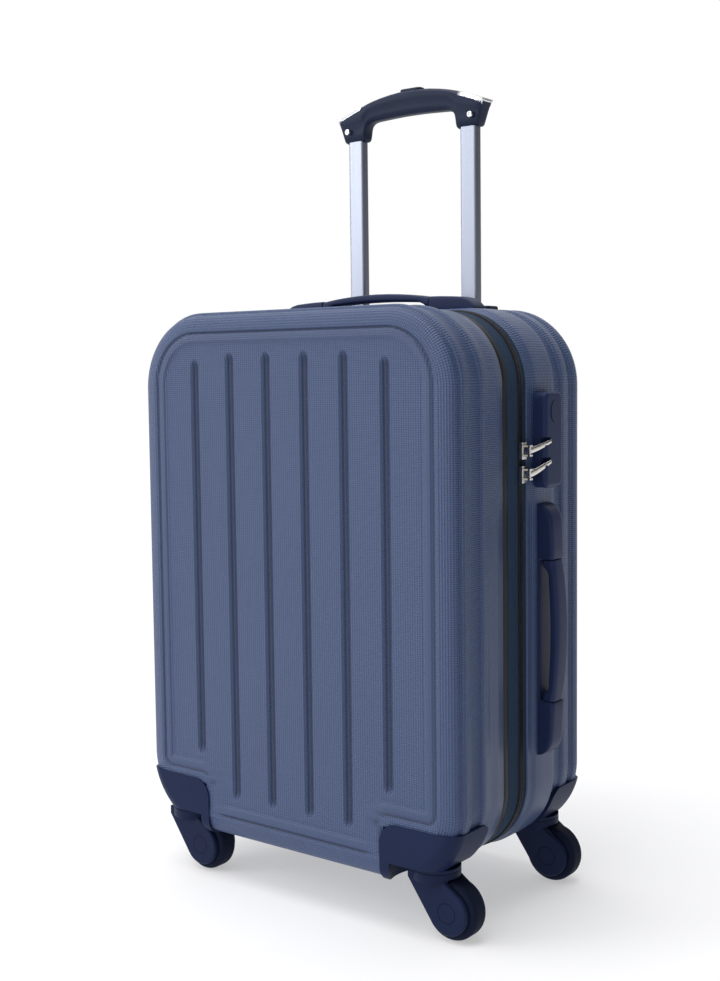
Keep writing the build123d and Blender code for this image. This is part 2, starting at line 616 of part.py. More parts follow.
with BuildPart() as trolley_foot_screws:
    with BuildSketch(Plane.XZ.offset(-FOOT_BLOCK_FRONT)):
        with Locations(*SCREW_PLACES):
            Circle(SCREW_RADIUS)
    extrude(amount=-SCREW_LENGTH)
    with BuildSketch(Plane.XZ.offset(-FOOT_BLOCK_FRONT)):
        with Locations(*SCREW_PLACES):
            Circle(SCREW_HEAD[0])
            RegularPolygon(1.6, 6, mode=Mode.SUBTRACT)
    extrude(amount=SCREW_HEAD[1])
save(trolley_foot_screws, "trolley_foot_screws")

# ---------------------------------------------------------------- trolley grip
GRIP_X = GRIP_WIDTH / 2
SHOULDER_Z = GRIP_TOP_Z - GRIP_ARCH
LEG_INNER = TUBE_X - LEG_WIDTH / 2
LEG_OUTER = TUBE_X + LEG_WIDTH / 2
SLOT_LOW = GRIP_UNDER_Z + 1.8
SLOT_HIGH = SLOT_LOW + RELEASE_BAR[1] + BUTTON_TRAVEL + 0.6
BAR_LOW = SLOT_HIGH - 0.3 - RELEASE_BAR[1]


def grip_outline(drop):
    """The closed side of the grip under its arch, lowered by drop."""
    with BuildSketch(Plane.XZ.offset(-TUBE_DEPTH_Y)) as outline:
        with BuildLine():
            ThreePointArc((-GRIP_X, SHOULDER_Z - drop), (0, GRIP_TOP_Z - drop),
                          (GRIP_X, SHOULDER_Z - drop))
            Polyline((GRIP_X, SHOULDER_Z - drop), (LEG_OUTER, GRIP_FOOT_Z),
                     (LEG_INNER, GRIP_FOOT_Z), (LEG_INNER, GRIP_UNDER_Z),
                     (-LEG_INNER, GRIP_UNDER_Z), (-LEG_INNER, GRIP_FOOT_Z),
                     (-LEG_OUTER, GRIP_FOOT_Z), (-GRIP_X, SHOULDER_Z - drop))
        make_face()
    return outline.sketch


grip_side = grip_outline(0)
trim_side = grip_outline(TRIM_HEIGHT)
with BuildPart() as grip_solid:
    extrude(grip_side, amount=GRIP_DEPTH / 2, both=True)
    under = [e for e in grip_solid.edges().filter_by(Axis.Y)
             if abs(e.center().Z - GRIP_UNDER_Z) < 0.01]
    fillet(under, 12)
    shoulders = [e for e in grip_solid.edges().filter_by(Axis.Y)
                 if abs(e.center().Z - SHOULDER_Z) < 0.01]
    fillet(shoulders, 5)
    top_edges = [e for e in grip_solid.edges() if e.center().Z > SHOULDER_Z + 1
                 and abs(abs(e.center().Y - TUBE_DEPTH_Y) - GRIP_DEPTH / 2) < 0.01]
    fillet(top_edges, 4)

with BuildPart() as trim_space:
    extrude(trim_side, amount=GRIP_DEPTH, both=True)

with BuildPart() as grip_trims:
    add(grip_solid.part)
    add(trim_space.part, mode=Mode.SUBTRACT)
    block((-GRIP_X + TRIM_LENGTH, GRIP_X - TRIM_LENGTH), (0, 200),
          (GRIP_FOOT_Z, GRIP_TOP_Z + 5), Mode.SUBTRACT)
save(grip_trims, "grip_trims")

BUTTON_STEM = 6.0
with BuildPart() as grip_body:
    add(grip_solid.part)
    for x_side in (-1, 1):
        block(sorted((x_side * (LEG_INNER - 15), x_side * (GRIP_X + 5))),
              (TUBE_DEPTH_Y + LEG_DEPTH / 2, TUBE_DEPTH_Y + GRIP_DEPTH),
              (GRIP_FOOT_Z - 1, GRIP_FOOT_Z + 8), Mode.SUBTRACT)
        block(sorted((x_side * (LEG_INNER - 15), x_side * (GRIP_X + 5))),
              (TUBE_DEPTH_Y - GRIP_DEPTH, TUBE_DEPTH_Y - LEG_DEPTH / 2),
              (GRIP_FOOT_Z - 1, GRIP_FOOT_Z + 8), Mode.SUBTRACT)
    add(grip_trims.part, mode=Mode.SUBTRACT)
    with BuildSketch(Plane.XY.offset(GRIP_FOOT_Z - 1)) as sockets:
        with Locations(*TUBE_PLACES):
            RectangleRounded(*INNER_TUBE, TUBE_CORNER)
    extrude(sockets.sketch, amount=INNER_HEAD - GRIP_FOOT_Z + 1, mode=Mode.SUBTRACT)
    for place in TUBE_PLACES:
        with Locations((place[0], place[1], INNER_HEAD)):
            Cylinder(RELEASE_ROD_RADIUS + 0.5, 20,
                     align=(Align.CENTER, Align.CENTER, Align.CENTER), mode=Mode.SUBTRACT)
    block((-TUBE_X - 5, TUBE_X + 5),
          (TUBE_DEPTH_Y - RELEASE_BAR[0] / 2 - 0.5, TUBE_DEPTH_Y + RELEASE_BAR[0] / 2 + 0.5),
          (SLOT_LOW, SLOT_HIGH), Mode.SUBTRACT)
    with BuildSketch(Plane.XY.offset(GRIP_TOP_Z - BUTTON_STEM)) as button_hole:
        with Locations((0, TUBE_DEPTH_Y)):
            RectangleRounded(BUTTON_LENGTH + 2 * FIT, BUTTON_WIDTH + 2 * FIT, 5)
    extrude(button_hole.sketch, amount=20, mode=Mode.SUBTRACT)
    block((-4.5, 4.5), (TUBE_DEPTH_Y - 3, TUBE_DEPTH_Y + 3),
          (SLOT_HIGH - 1, GRIP_TOP_Z), Mode.SUBTRACT)
    for x_side in (-1, 1):
        rivet_x = x_side * (TUBE_X + 6)
        with BuildSketch(Plane.XZ.offset(-(TUBE_DEPTH_Y - GRIP_DEPTH / 2))) as rivet_hole:
            with Locations((rivet_x, GRIP_FOOT_Z + 11)):
                Circle(RIVET_RADIUS)
        extrude(rivet_hole.sketch, amount=-(GRIP_DEPTH / 2 - INNER_TUBE[1] / 2),
                mode=Mode.SUBTRACT)
save(grip_body, "grip_body")

with BuildPart() as grip_rivets:
    for x_side in (-1, 1):
        rivet_x = x_side * (TUBE_X + 6)
        with BuildSketch(Plane.XZ.offset(-(TUBE_DEPTH_Y - GRIP_DEPTH / 2))) as shank:
            with Locations((rivet_x, GRIP_FOOT_Z + 11)):
                Circle(RIVET_RADIUS)
        extrude(shank.sketch, amount=-(GRIP_DEPTH / 2 - INNER_TUBE[1] / 2))
        with BuildSketch(Plane.XZ.offset(-(TUBE_DEPTH_Y - GRIP_DEPTH / 2))) as head:
            with Locations((rivet_x, GRIP_FOOT_Z + 11)):
                Circle(RIVET_HEAD_RADIUS)
        extrude(head.sketch, amount=RIVET_HEAD_RISE)
save(grip_rivets, "grip_rivets")

with BuildPart() as grip_button:
    with BuildSketch(Plane.XY.offset(GRIP_TOP_Z + BUTTON_RISE - 4.0)):
        with Locations((0, TUBE_DEPTH_Y)):
            RectangleRounded(BUTTON_LENGTH, BUTTON_WIDTH, 5)
    extrude(amount=4.0)
    fillet(grip_button.faces().sort_by(Axis.Z)[-1].edges(), 1.5)
    block((-4, 4), (TUBE_DEPTH_Y - 2.5, TUBE_DEPTH_Y + 2.5),
          (BAR_LOW + RELEASE_BAR[1], GRIP_TOP_Z + BUTTON_RISE - 3.0))
save(grip_button, "grip_button")

with BuildPart() as release_frame:
    block((-TUBE_X - 4, TUBE_X + 4),
          (TUBE_DEPTH_Y - RELEASE_BAR[0] / 2, TUBE_DEPTH_Y + RELEASE_BAR[0] / 2),
          (BAR_LOW, BAR_LOW + RELEASE_BAR[1]))
    for place in TUBE_PLACES:
        with Locations((place[0], place[1], INNER_FOOT + 12)):
            Cylinder(RELEASE_ROD_RADIUS, BAR_LOW + 1 - INNER_FOOT - 12,
                     align=(Align.CENTER, Align.CENTER, Align.MIN))
save(release_frame, "release_frame")

# ---------------------------------------------------------------- lock and zip pulls
RELEASE_Z = LOCK_CENTRE_Z + RELEASE_ABOVE
with BuildPart() as lock_body:
    block((SIDE_X, SIDE_X + LOCK_RISE), (LOCK_FRONT_Y, LOCK_FRONT_Y + LOCK_WIDTH),
          (LOCK_CENTRE_Z - LOCK_HEIGHT / 2, LOCK_CENTRE_Z + LOCK_HEIGHT / 2))
    fillet(lock_body.edges().filter_by(Axis.X), 7)
    fillet(lock_body.faces().sort_by(Axis.X)[-1].edges(), LOCK_EDGE)
    with Locations((SIDE_X, LOCK_Y, LOCK_CENTRE_Z)):
        Box(LOCK_ROOT_DEPTH, LOCK_ROOT_Y, LOCK_ROOT_Z, align=(Align.MAX, Align.CENTER, Align.CENTER))
    for slot in PULL_SLOTS:
        block((SIDE_X + LOCK_RISE - PULL_SLOT_DEPTH, SIDE_X + LOCK_RISE + 2),
              (LOCK_FRONT_Y - 2, LOCK_FRONT_Y + PULL_SLOT_LENGTH),
              (LOCK_CENTRE_Z + slot - PULL_SLOT_HEIGHT / 2,
               LOCK_CENTRE_Z + slot + PULL_SLOT_HEIGHT / 2), Mode.SUBTRACT)
    with BuildSketch(Plane.YZ.offset(SIDE_X + LOCK_RISE - 4)) as release_hole:
        with Locations((LOCK_Y, RELEASE_Z)):
            Ellipse(RELEASE_OVAL[0] / 2 + FIT, RELEASE_OVAL[1] / 2 + FIT)
    extrude(release_hole.sketch, amount=10, mode=Mode.SUBTRACT)
save(lock_body, "lock_body")

with BuildPart() as lock_button:
    with BuildSketch(Plane.YZ.offset(SIDE_X + LOCK_RISE - 4 + RELEASE_TRAVEL + 0.3)):
        with Locations((LOCK_Y, RELEASE_Z)):
            Ellipse(RELEASE_OVAL[0] / 2, RELEASE_OVAL[1] / 2)
    extrude(amount=4 - RELEASE_TRAVEL - 0.3 + RELEASE_RISE)
save(lock_button, "lock_button")

SLIDER_X = SIDE_X - TEETH_OUTER + FIT
with BuildPart() as zip_sliders:
    for slot, rise in zip(PULL_SLOTS, PULL_RISES):
        z = LOCK_CENTRE_Z + slot - rise
        block((SLIDER_X, SLIDER_X + SLIDER_HEIGHT - 1), (TEETH_CENTRE - SLIDER_WIDTH / 2,
              TEETH_CENTRE + SLIDER_WIDTH / 2), (z - SLIDER_LENGTH / 2, z + SLIDER_LENGTH / 2))
        for end in (-1, 1):
            ear = z + end * (PULL_WIDTH / 2 + 1.2)
            block((SLIDER_X + 2, PULL_X + 1.6), (PULL_Y - 3.2, PULL_Y + 1.6),
                  (ear - 0.8, ear + 0.8))
        with Locations((PULL_X, PULL_Y, z)):
            Cylinder(PULL_PIN_RADIUS, PULL_WIDTH + 3)
save(zip_sliders, "zip_sliders")

for name, slot, rise in (("upper", PULL_SLOTS[0], PULL_RISES[0]), ("lower", PULL_SLOTS[1], PULL_RISES[1])):
    z = LOCK_CENTRE_Z + slot - rise
    lean = Plane(origin=(PULL_X, PULL_Y, z), x_dir=PULL_RUN, z_dir=PULL_NORMAL)
    with BuildPart() as pull:
        with Locations((PULL_X, PULL_Y, z)):
            Cylinder(PULL_EYE_RADIUS, PULL_WIDTH - 0.8)
        with BuildSketch(lean.offset(-PULL_THICKNESS / 2)) as tab:
            with BuildLine():
                Polyline((0, -2.6), (PULL_LENGTH / 2, rise - 2.2), (PULL_LENGTH, rise - 1.6),
                         (PULL_LENGTH, rise + 1.6), (PULL_LENGTH / 2 - 3, rise + 1.4), (2.8, 2.7),
                         (0, 2.6), close=True)
            make_face()
        extrude(tab.sketch, amount=PULL_THICKNESS)
        with Locations((PULL_X, PULL_Y, z)):
            Cylinder(PULL_PIN_RADIUS + RUNNING_CLEARANCE, PULL_WIDTH + 6, mode=Mode.SUBTRACT)
    save(pull, f"zip_pull_{name}")


# ---------------------------------------------------------------- carry handles
def handle_plane(kind):
    """The plane a handle lies on: local X along the handle, local Y out of the case."""
    if kind == "side":
        return Plane(origin=(SIDE_X, HANDLE_SIDE_Y, HANDLE_SIDE_Z), x_dir=(0, 0, 1), z_dir=(0, 1, 0))
    return Plane(origin=(0, HANDLE_TOP_Y, CASE_TOP), x_dir=(1, 0, 0), z_dir=(0, -1, 0))


INNER_END = HALF_LENGTH - HANDLE_END
TONGUE_REST = HANDLE_BASE + 1.0
TONGUE_ROOM = HANDLE_TONGUE + HANDLE_TRAVEL + 0.6
for kind in ("side", "top"):
    plane = handle_plane(kind)
    rise, arch = HANDLE_RISES[kind]
    crest = rise + arch
    under = crest - HANDLE_BAR[kind]
    with BuildPart() as seat:
        with BuildSketch(plane) as base:
            Rectangle(HANDLE_LENGTH, HANDLE_BASE, align=(Align.CENTER, Align.MIN))
            for end in (-1, 1):
                with BuildLine():
                    Polyline((end * INNER_END, 0), (end * INNER_END, rise),
                             (end * (HALF_LENGTH - HANDLE_NOSE), rise - HANDLE_NOSE_DROP),
                             (end * HALF_LENGTH, HANDLE_BASE), (end * HALF_LENGTH, 0), close=True)
                make_face()
        extrude(base.sketch, amount=HANDLE_WIDTH / 2, both=True)
        with BuildSketch(plane) as room:
            for end in (-1, 1):
                with Locations((end * (INNER_END + HANDLE_TONGUE_LENGTH / 2 - 1), HANDLE_BASE + 0.4)):
                    Rectangle(HANDLE_TONGUE_LENGTH + 4, TONGUE_ROOM + 0.6,
                              align=(Align.CENTER, Align.MIN))
        extrude(room.sketch, amount=HANDLE_TONGUE_WIDTH / 2 + 0.4, both=True, mode=Mode.SUBTRACT)
    save(seat, f"{kind}_handle_seat")

    with BuildPart() as grip:
        with BuildSketch(plane) as bar:
            with BuildLine():
                ThreePointArc((-INNER_END + 0.5, rise - 0.3), (0, crest), (INNER_END - 0.5, rise - 0.3))
                Polyline((INNER_END - 0.5, rise - 0.3), (INNER_END - 0.5, TONGUE_REST),
                         (INNER_END - 6, TONGUE_REST), (INNER_END - 13, under - HANDLE_SAG))
                ThreePointArc((INNER_END - 13, under - HANDLE_SAG), (0, under),
                              (-INNER_END + 13, under - HANDLE_SAG))
                Polyline((-INNER_END + 13, under - HANDLE_SAG), (-INNER_END + 6, TONGUE_REST),
                         (-INNER_END + 0.5, TONGUE_REST), (-INNER_END + 0.5, rise - 0.3))
            make_face()
        extrude(bar.sketch, amount=HANDLE_WIDTH / 2 - 0.5, both=True)
        crests = grip.edges().filter_by(GeomType.CIRCLE).sort_by(
            lambda edge: edge.center().X if kind == "side" else edge.center().Z)
        fillet(crests[-2:], HANDLE_EDGE)
        with BuildSketch(plane) as tongues:
            for end in (-1, 1):
                with Locations((end * (INNER_END - 2 + HANDLE_TONGUE_LENGTH / 2), TONGUE_REST)):
                    Rectangle(HANDLE_TONGUE_LENGTH, HANDLE_TONGUE, align=(Align.CENTER, Align.MIN))
        extrude(tongues.sketch, amount=HANDLE_TONGUE_WIDTH / 2, both=True)
    save(grip, f"{kind}_handle_grip")


# ---------------------------------------------------------------- feet on the hinge side
for name, side, depth in (("side_feet_front", -1, FRONT_DEPTH), ("side_feet_rear", 1, REAR_DEPTH)):
    with BuildPart() as feet:
        for z in FOOT_Z:
            block((-SIDE_X - FOOT_RISE, -SIDE_X),
                  sorted((side * (depth - 20.5), side * (depth - 20.5 + FOOT_WIDTH - 4))),
                  (z - FOOT_HEIGHT / 2, z + FOOT_HEIGHT / 2))
    save(feet, name)


# ---------------------------------------------------------------- lining, pocket and straps
def tray_shape(side, rim, floor_y, grow, corners):
    """The room inside one half, moved in by grow and stepped round the wheel housings."""
    with BuildPart() as shape:
        slab(*sorted((side * rim, side * floor_y)), RIB_HEIGHT + WALL + grow)
        for corner in corners:
            corner_block(corner, WALL + grow, Mode.SUBTRACT)
            well(corner, WALL + grow)
    return shape.part


def lining(name, side, floor_y, corners):
    """A thin fabric tray that lines one half, open towards the other half."""
    outer = tray_shape(side, LINING_RIM, floor_y, LINING_GAP, corners)
    inner = tray_shape(side, LINING_RIM - 5, floor_y - LINING, LINING_GAP + LINING, corners)
    with BuildPart() as tray:
        add(outer)
        add(inner, mode=Mode.SUBTRACT)
    save(tray, name)


lining("front_lining", -1, LINING_FRONT, FRONT_CORNERS)
lining("rear_lining", 1, LINING_REAR, REAR_CORNERS)

POCKET_BACK = -LINING_FRONT + LINING
with BuildPart() as lining_pocket:
    with Locations((0, POCKET_BACK, MIDDLE_Z - 30)):
        Box(*POCKET, align=(Align.CENTER, Align.MIN, Align.CENTER))
save(lining_pocket, "lining_pocket")

STRAP_BACK = LINING_REAR - LINING
BUCKLE_Z = MIDDLE_Z + 20
with BuildPart() as strap_buckle:
    with Locations((0, STRAP_BACK, BUCKLE_Z)):
        Box(*BUCKLE, align=(Align.CENTER, Align.MAX, Align.CENTER))
    fillet(strap_buckle.edges().filter_by(Axis.Y), 8)
save(strap_buckle, "strap_buckle")

STRAP_END_X = 165.0
STRAP_ENDS = (MIDDLE_Z + 130, MIDDLE_Z - 90)
with BuildPart() as packing_straps:
    for x_side in (-1, 1):
        for end_z in STRAP_ENDS:
            start = BUCKLE_Z + (6 if end_z > BUCKLE_Z else -6)
            with BuildSketch(Plane.XZ.offset(-STRAP_BACK)) as strap:
                with BuildLine():
                    Polyline((x_side * BUCKLE[0] / 2, start - STRAP_WIDTH / 2 * 0.9),
                             (x_side * STRAP_END_X, end_z - STRAP_WIDTH / 2),
                             (x_side * STRAP_END_X, end_z + STRAP_WIDTH / 2),
                             (x_side * BUCKLE[0] / 2, start + STRAP_WIDTH / 2 * 0.9),
                             close=True)
                make_face()
            extrude(strap.sketch, amount=STRAP_THICKNESS)
save(packing_straps, "packing_straps")
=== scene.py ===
import math

import bpy
import numpy as np
from mathutils import Matrix, Vector


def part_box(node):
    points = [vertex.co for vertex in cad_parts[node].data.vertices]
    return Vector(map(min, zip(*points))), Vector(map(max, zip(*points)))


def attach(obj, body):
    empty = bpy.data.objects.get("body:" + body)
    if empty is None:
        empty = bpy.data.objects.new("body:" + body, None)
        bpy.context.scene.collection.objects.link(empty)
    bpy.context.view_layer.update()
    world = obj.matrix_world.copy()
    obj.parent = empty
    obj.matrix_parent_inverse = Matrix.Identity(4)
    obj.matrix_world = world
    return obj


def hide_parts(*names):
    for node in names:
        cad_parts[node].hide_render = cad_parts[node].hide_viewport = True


bl_info = {
    "name": "Hard Shell Suitcase",
    "version": (1, 0, 0),
    "blender": (4, 5, 0),
    "location": "3D View > Sidebar > Suitcase",
    "description": "Pressed shells, zip, lining, trolley handle and casters of a cabin suitcase",
    "category": "Object",
}

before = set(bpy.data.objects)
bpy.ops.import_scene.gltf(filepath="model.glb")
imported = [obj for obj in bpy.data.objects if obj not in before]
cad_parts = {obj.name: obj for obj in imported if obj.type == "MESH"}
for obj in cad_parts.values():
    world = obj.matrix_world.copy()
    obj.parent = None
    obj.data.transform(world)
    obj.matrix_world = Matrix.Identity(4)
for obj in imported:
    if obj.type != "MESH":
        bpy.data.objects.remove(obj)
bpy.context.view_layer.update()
MM = 0.001


def box_of(node):
    """A CAD node's low and high corners, in millimetres."""
    return tuple(np.array(corner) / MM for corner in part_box(node))


SHELL_LOW, SHELL_HIGH = box_of("front_shell")
SIDE_X = float(SHELL_HIGH[0])
CASE_BOTTOM, CASE_TOP = float(SHELL_LOW[2]), float(SHELL_HIGH[2])
FACE_Y = float(-SHELL_LOW[1])
MIDDLE_Z = (CASE_BOTTOM + CASE_TOP) / 2
HALF_HEIGHT = (CASE_TOP - CASE_BOTTOM) / 2
CORNER_RADIUS = 72.0
# the length of the case's outline: four straight sides and four quarter circles
OUTLINE_LENGTH = (4 * (SIDE_X - CORNER_RADIUS) + 4 * (HALF_HEIGHT - CORNER_RADIUS)
                  + 2 * math.pi * CORNER_RADIUS)
# the face grid ends this far inside the outline, and the flank starts there
BORDER = 19.0
SHEET_THICKNESS = 2.3
RIBS = (-112.5, -67.5, -22.5, 22.5, 67.5, 112.5)
# the lowest and highest point of the inner ribs, and of the outer ones, which end at the corners
INNER_RIB_ENDS, OUTER_RIB_ENDS = (81.7, 510.4), (120.1, 504.3)
# the front panel's half-width, top, bottom, and the notch round each wheel housing
PANEL_HALF, PANEL_TOP, PANEL_BOTTOM = 162.0, 527.5, 65.5
NOTCH_X, NOTCH_Z = 96.0, 104.4
# the corner taken out of each half for a wheel housing: width, depth, and height above the floor
HOUSING_WIDTH, HOUSING_DEPTH, HOUSING_TOP = 82.0 - 3.0, 50.0, 94.0
# the round well over each caster: its radius, and the height of its roof
WELL_RADIUS, WELL_TOP = 42.0, 62.0
SWIVELS = [(side * (SIDE_X - 38.6), way * (FACE_Y - 24.7)) for side in (-1, 1) for way in (-1, 1)]
FORK_AXLES = [float(sum(v[0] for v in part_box(f"axle_front_{side}")) / 2) for side in ("left", "right")]
AXLE_HEIGHT = float(sum(v[2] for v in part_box("axle_front_left")) / 2)
AXLE_COVER_RADIUS = 0.0088


# ---------------------------------------------------------------- materials
class Value:
    """A shader socket that takes part in Python sums; each operator adds its Math node."""

    def __init__(self, tree, socket):
        self.tree = tree
        self.socket = socket

    def math(self, operation, *others):
        """The Math node of that operation on this value and the others, in order."""
        return self.tree.add("ShaderNodeMath", {"operation": operation},
                             dict(enumerate((self,) + others)))

    def __add__(self, other):
        return self.math("ADD", other)

    __radd__ = __add__

    def __mul__(self, other):
        return self.math("MULTIPLY", other)

    __rmul__ = __mul__

    def __sub__(self, other):
        return self.math("SUBTRACT", other)

    def __rsub__(self, other):
        return self.tree.add("ShaderNodeMath", {"operation": "SUBTRACT"}, {0: other, 1: self})

    def sine(self):
        """The sine of this value, in radians."""
        return self.math("SINE")

    def abs(self):
        """The value without its sign."""
        return self.math("ABSOLUTE")

    def power(self, exponent):
        """This value raised to an exponent."""
        return self.math("POWER", exponent)

    def between(self, low, high):
        """0 below low, 1 above high, and a smooth step between them."""
        return self.tree.add(
            "ShaderNodeMapRange", {"interpolation_type": "SMOOTHSTEP"},
            {"Value": self, "From Min": low, "From Max": high, "To Min": 0.0, "To Max": 1.0},
            "Result",
        )


class Finish:
    """One material: its node tree, and the few ways in which nodes are added to it."""

    def __init__(self, name, **constants):
        self.material = bpy.data.materials.new(name)
        self.material.use_nodes = True
        self.nodes = self.material.node_tree.nodes
        self.shader = self.nodes["Principled BSDF"]
        for socket, value in constants.items():
            self.shader.inputs[socket.replace("_", " ")].default_value = value

    def add(self, kind, settings, inputs, output=0):
        """A node of one kind: settings are set first, then each input gets a value or a link."""
        node = self.nodes.new(kind)
        for key, value in settings.items():
            setattr(node, key, value)
        for key, value in inputs.items():
            self.link(node.inputs[key], value)
        return Value(self, node.outputs[output])

    def link(self, socket, value):
        """Puts a plain value on a socket, or links a node's output to it."""
        if isinstance(value, Value):
            self.material.node_tree.links.new(value.socket, socket)
        else:
            socket.default_value = value

    def place(self, source="Object"):
        """A point's coordinates, whole and as separate X, Y and Z values."""
        point = self.add("ShaderNodeTexCoord", {}, {}, source)
        split = self.add("ShaderNodeSeparateXYZ", {}, {"Vector": point})
        outputs = split.socket.node.outputs
        return point, [Value(self, outputs[i]) for i in range(3)]

    def noise(self, point, scale, detail=3.0, roughness=0.5):
        """Soft random variation from 0 to 1."""
        return self.add("ShaderNodeTexNoise", {}, {"Vector": point, "Scale": scale,
                        "Detail": detail, "Roughness": roughness}, "Fac")

    def attribute(self, name):
        """A number stored on the mesh's points."""
        return self.add("ShaderNodeAttribute", {"attribute_name": name}, {}, "Fac")

    def blend(self, factor, low, high):
        """A colour between two colours."""
        node = self.nodes.new("ShaderNodeMix")
        node.data_type = "RGBA"
        for key, value in ((0, factor), (6, low), (7, high)):
            self.link(node.inputs[key], value)
        return Value(self, node.outputs[2])

    def bump(self, height, distance):
        """Feeds a height, in the units of distance, to the shader's normal."""
        self.link(self.shader.inputs["Normal"], self.add(
            "ShaderNodeBump", {}, {"Height": height, "Distance": distance, "Strength": 1.0}, "Normal"))

    def colour(self, value):
        """Feeds the base colour."""
        self.link(self.shader.inputs["Base Color"], value)

    def rough(self, value):
        """Feeds the roughness."""
        self.link(self.shader.inputs["Roughness"], value)


def shade(colour, factor):
    """A colour made lighter or darker, with its alpha kept."""
    return tuple(c * factor for c in colour[:3]) + (1.0,)


def pressed_shell(colour, pitch_across, pitch_along):
    """Pressed plastic sheet: a fine diamond weave where the sheet is woven, smooth elsewhere."""
    f = Finish("pressed_shell", Specular_IOR_Level=0.42)
    point, _ = f.place()
    _, (u, v, _) = f.place("UV")
    woven = f.attribute("woven")
    across = u * (math.pi / pitch_across)
    along = v * (math.pi / pitch_along)
    weave = (across + along).sine() * (across - along).sine()
    cloud = f.noise(point, 9.0)
    grain = f.noise(point, 900.0, 2.0)
    raised = weave.between(-0.5, 0.7)
    # the cloud is random tone; the weave's raised diamonds are painted lighter, a painted highlight on the
    # relief
    tone = cloud * 0.25 + raised * woven * 0.75
    # painted shade: the colour is darkened in the ribs' troughs and along the panel's outline line,
    # standing in for the shade that falls in these recesses
    deep = f.attribute("recess_shade")
    lit = f.blend(tone, shade(colour, 0.78), shade(colour, 1.34))
    f.colour(f.blend(deep * deep * 0.62, lit, shade(colour, 0.3)))
    f.rough(cloud * 0.08 + grain * 0.06 - woven * raised * 0.07 + 0.36)
    f.bump(weave * woven * 0.5 + grain * 0.05, 0.0006)
    return f.material


def moulded(name, colour, roughness, grain_scale=700.0, grain=0.00006, shine=0.25, mottle=0.15):
    """Moulded plastic with a fine spark-eroded grain and slight variation in tone."""
    f = Finish(name, Specular_IOR_Level=shine)
    point, _ = f.place()
    cloud = f.noise(point, 22.0)
    fine = f.noise(point, grain_scale, 3.0, 0.6)
    f.colour(f.blend(cloud, shade(colour, 1 - mottle), shade(colour, 1 + mottle)))
    f.rough(cloud * 0.1 + fine * 0.12 + (roughness - 0.1))
    f.bump(fine, grain)
    return f.material


def drawn_metal(name, colour, roughness, axis, spread=0.25):
    """Metal with fine draw lines along one axis, under a satin anodised or plated face."""
    f = Finish(name, Metallic=1.0)
    point, _ = f.place()
    scale = [900.0, 900.0, 900.0]
    scale[axis] = 6.0
    stretched = f.add("ShaderNodeMapping", {}, {"Vector": point, "Scale": scale}, "Vector")
    lines = f.noise(stretched, 1.0, 2.0)
    cloud = f.noise(point, 14.0)
    f.colour(f.blend(lines * 0.6 + cloud * 0.4, shade(colour, 1 - spread * 0.5), colour))
    f.rough(lines * spread * 0.5 + (roughness - spread * 0.2))
    f.bump(lines, 0.00003)
    return f.material


def plated(name, colour, roughness):
    """Bright plated metal with slight handling marks."""
    f = Finish(name, Metallic=1.0)
    point, _ = f.place()
    marks = f.noise(point, 160.0, 4.0, 0.65)
    f.colour(f.blend(marks, shade(colour, 0.82), colour))
    f.rough(marks * 0.14 + roughness)
    f.bump(marks, 0.00004)
    return f.material


def woven(name, colour, pitch, use_uv=True, sheen=0.3, rib=False):
    """Woven cloth: warp and weft as two crossed waves, or a ribbed webbing."""
    f = Finish(name, Sheen_Weight=sheen, Sheen_Roughness=0.5, Specular_IOR_Level=0.1)
    point, (x, y, z) = f.place()
    if use_uv:
        _, (u, v, _) = f.place("UV")
    else:
        u, v = x + y, z
    a = (u * (2 * math.pi / pitch)).sine()
    b = (v * (2 * math.pi / pitch)).sine()
    threads = a if rib else a * b
    cloud = f.noise(point, 60.0)
    # the threads' crests are painted lighter and their hollows darker, painted highlight and shade on the
    # weave; the cloud is random tone
    lit = threads.between(-1.0, 1.0)
    f.colour(f.blend(lit * 0.7 + cloud * 0.3, shade(colour, 0.6), shade(colour, 1.35)))
    f.rough(cloud * 0.15 + 0.72)
    f.bump(threads + cloud * 0.4, pitch * 0.12)
    return f.material


def fork_plastic(colour, centres, height, radius):
    """The housing's plastic, with the thin round seam of the axle's cover pressed in each arm."""
    f = Finish("fork_plastic", Specular_IOR_Level=0.08)
    point, (x, _, z) = f.place()
    fine = f.noise(point, 700.0, 3.0, 0.6)
    cloud = f.noise(point, 22.0)
    up = z - height
    seams = [((x - c) * (x - c) + up * up).power(0.5) - radius for c in centres]
    seam = seams[0].abs().math("MINIMUM", seams[1].abs())
    line = 1 - seam.between(0.00015, 0.0006)
    tone = cloud * 0.6 + 0.2 - line * 0.9
    f.colour(f.blend(tone.math("MAXIMUM", 0.0), shade(colour, 0.5), shade(colour, 1.3)))
    f.rough(cloud * 0.1 + fine * 0.12 + 0.32)
    f.bump(fine * 0.1 - line, 0.0005)
    return f.material


def tread(colour):
    """Tyre rubber: dull, slightly dusty, finely pitted, and a little paler near the floor."""
    f = Finish("tyre_rubber", Specular_IOR_Level=0.05)
    point, (_, _, z) = f.place()
    dust = f.noise(point, 45.0, 4.0)
    pits = f.noise(point, 1100.0, 2.0)
    low = 1 - z.between(0.0, 0.012)
    f.colour(f.blend(dust * 0.4 + low * 0.3, shade(colour, 0.8), shade(colour, 1.8)))
    f.rough(dust * 0.15 + 0.5)
    f.bump(pits, 0.00008)
    return f.material


# ---------------------------------------------------------------- surfaces
def step(value, low, high):
    """0 below low, 1 above high, smooth between: three t squared less two t cubed."""
    t = np.clip((value - low) / (high - low), 0.0, 1.0)
    return t * t * (3 - 2 * t)


def wrap_faces(rows, columns, close_rows=False, close_columns=False):
    """Quads of a grid of points stored row by row, joined end to end where it closes."""
    r = np.arange(rows if close_rows else rows - 1)
    c = np.arange(columns if close_columns else columns - 1)
    r0, c0 = (a.ravel() for a in np.meshgrid(r, c, indexing="ij"))
    r1, c1 = (r0 + 1) % rows, (c0 + 1) % columns
    return np.stack([r0 * columns + c0, r0 * columns + c1, r1 * columns + c1, r1 * columns + c0], 1)


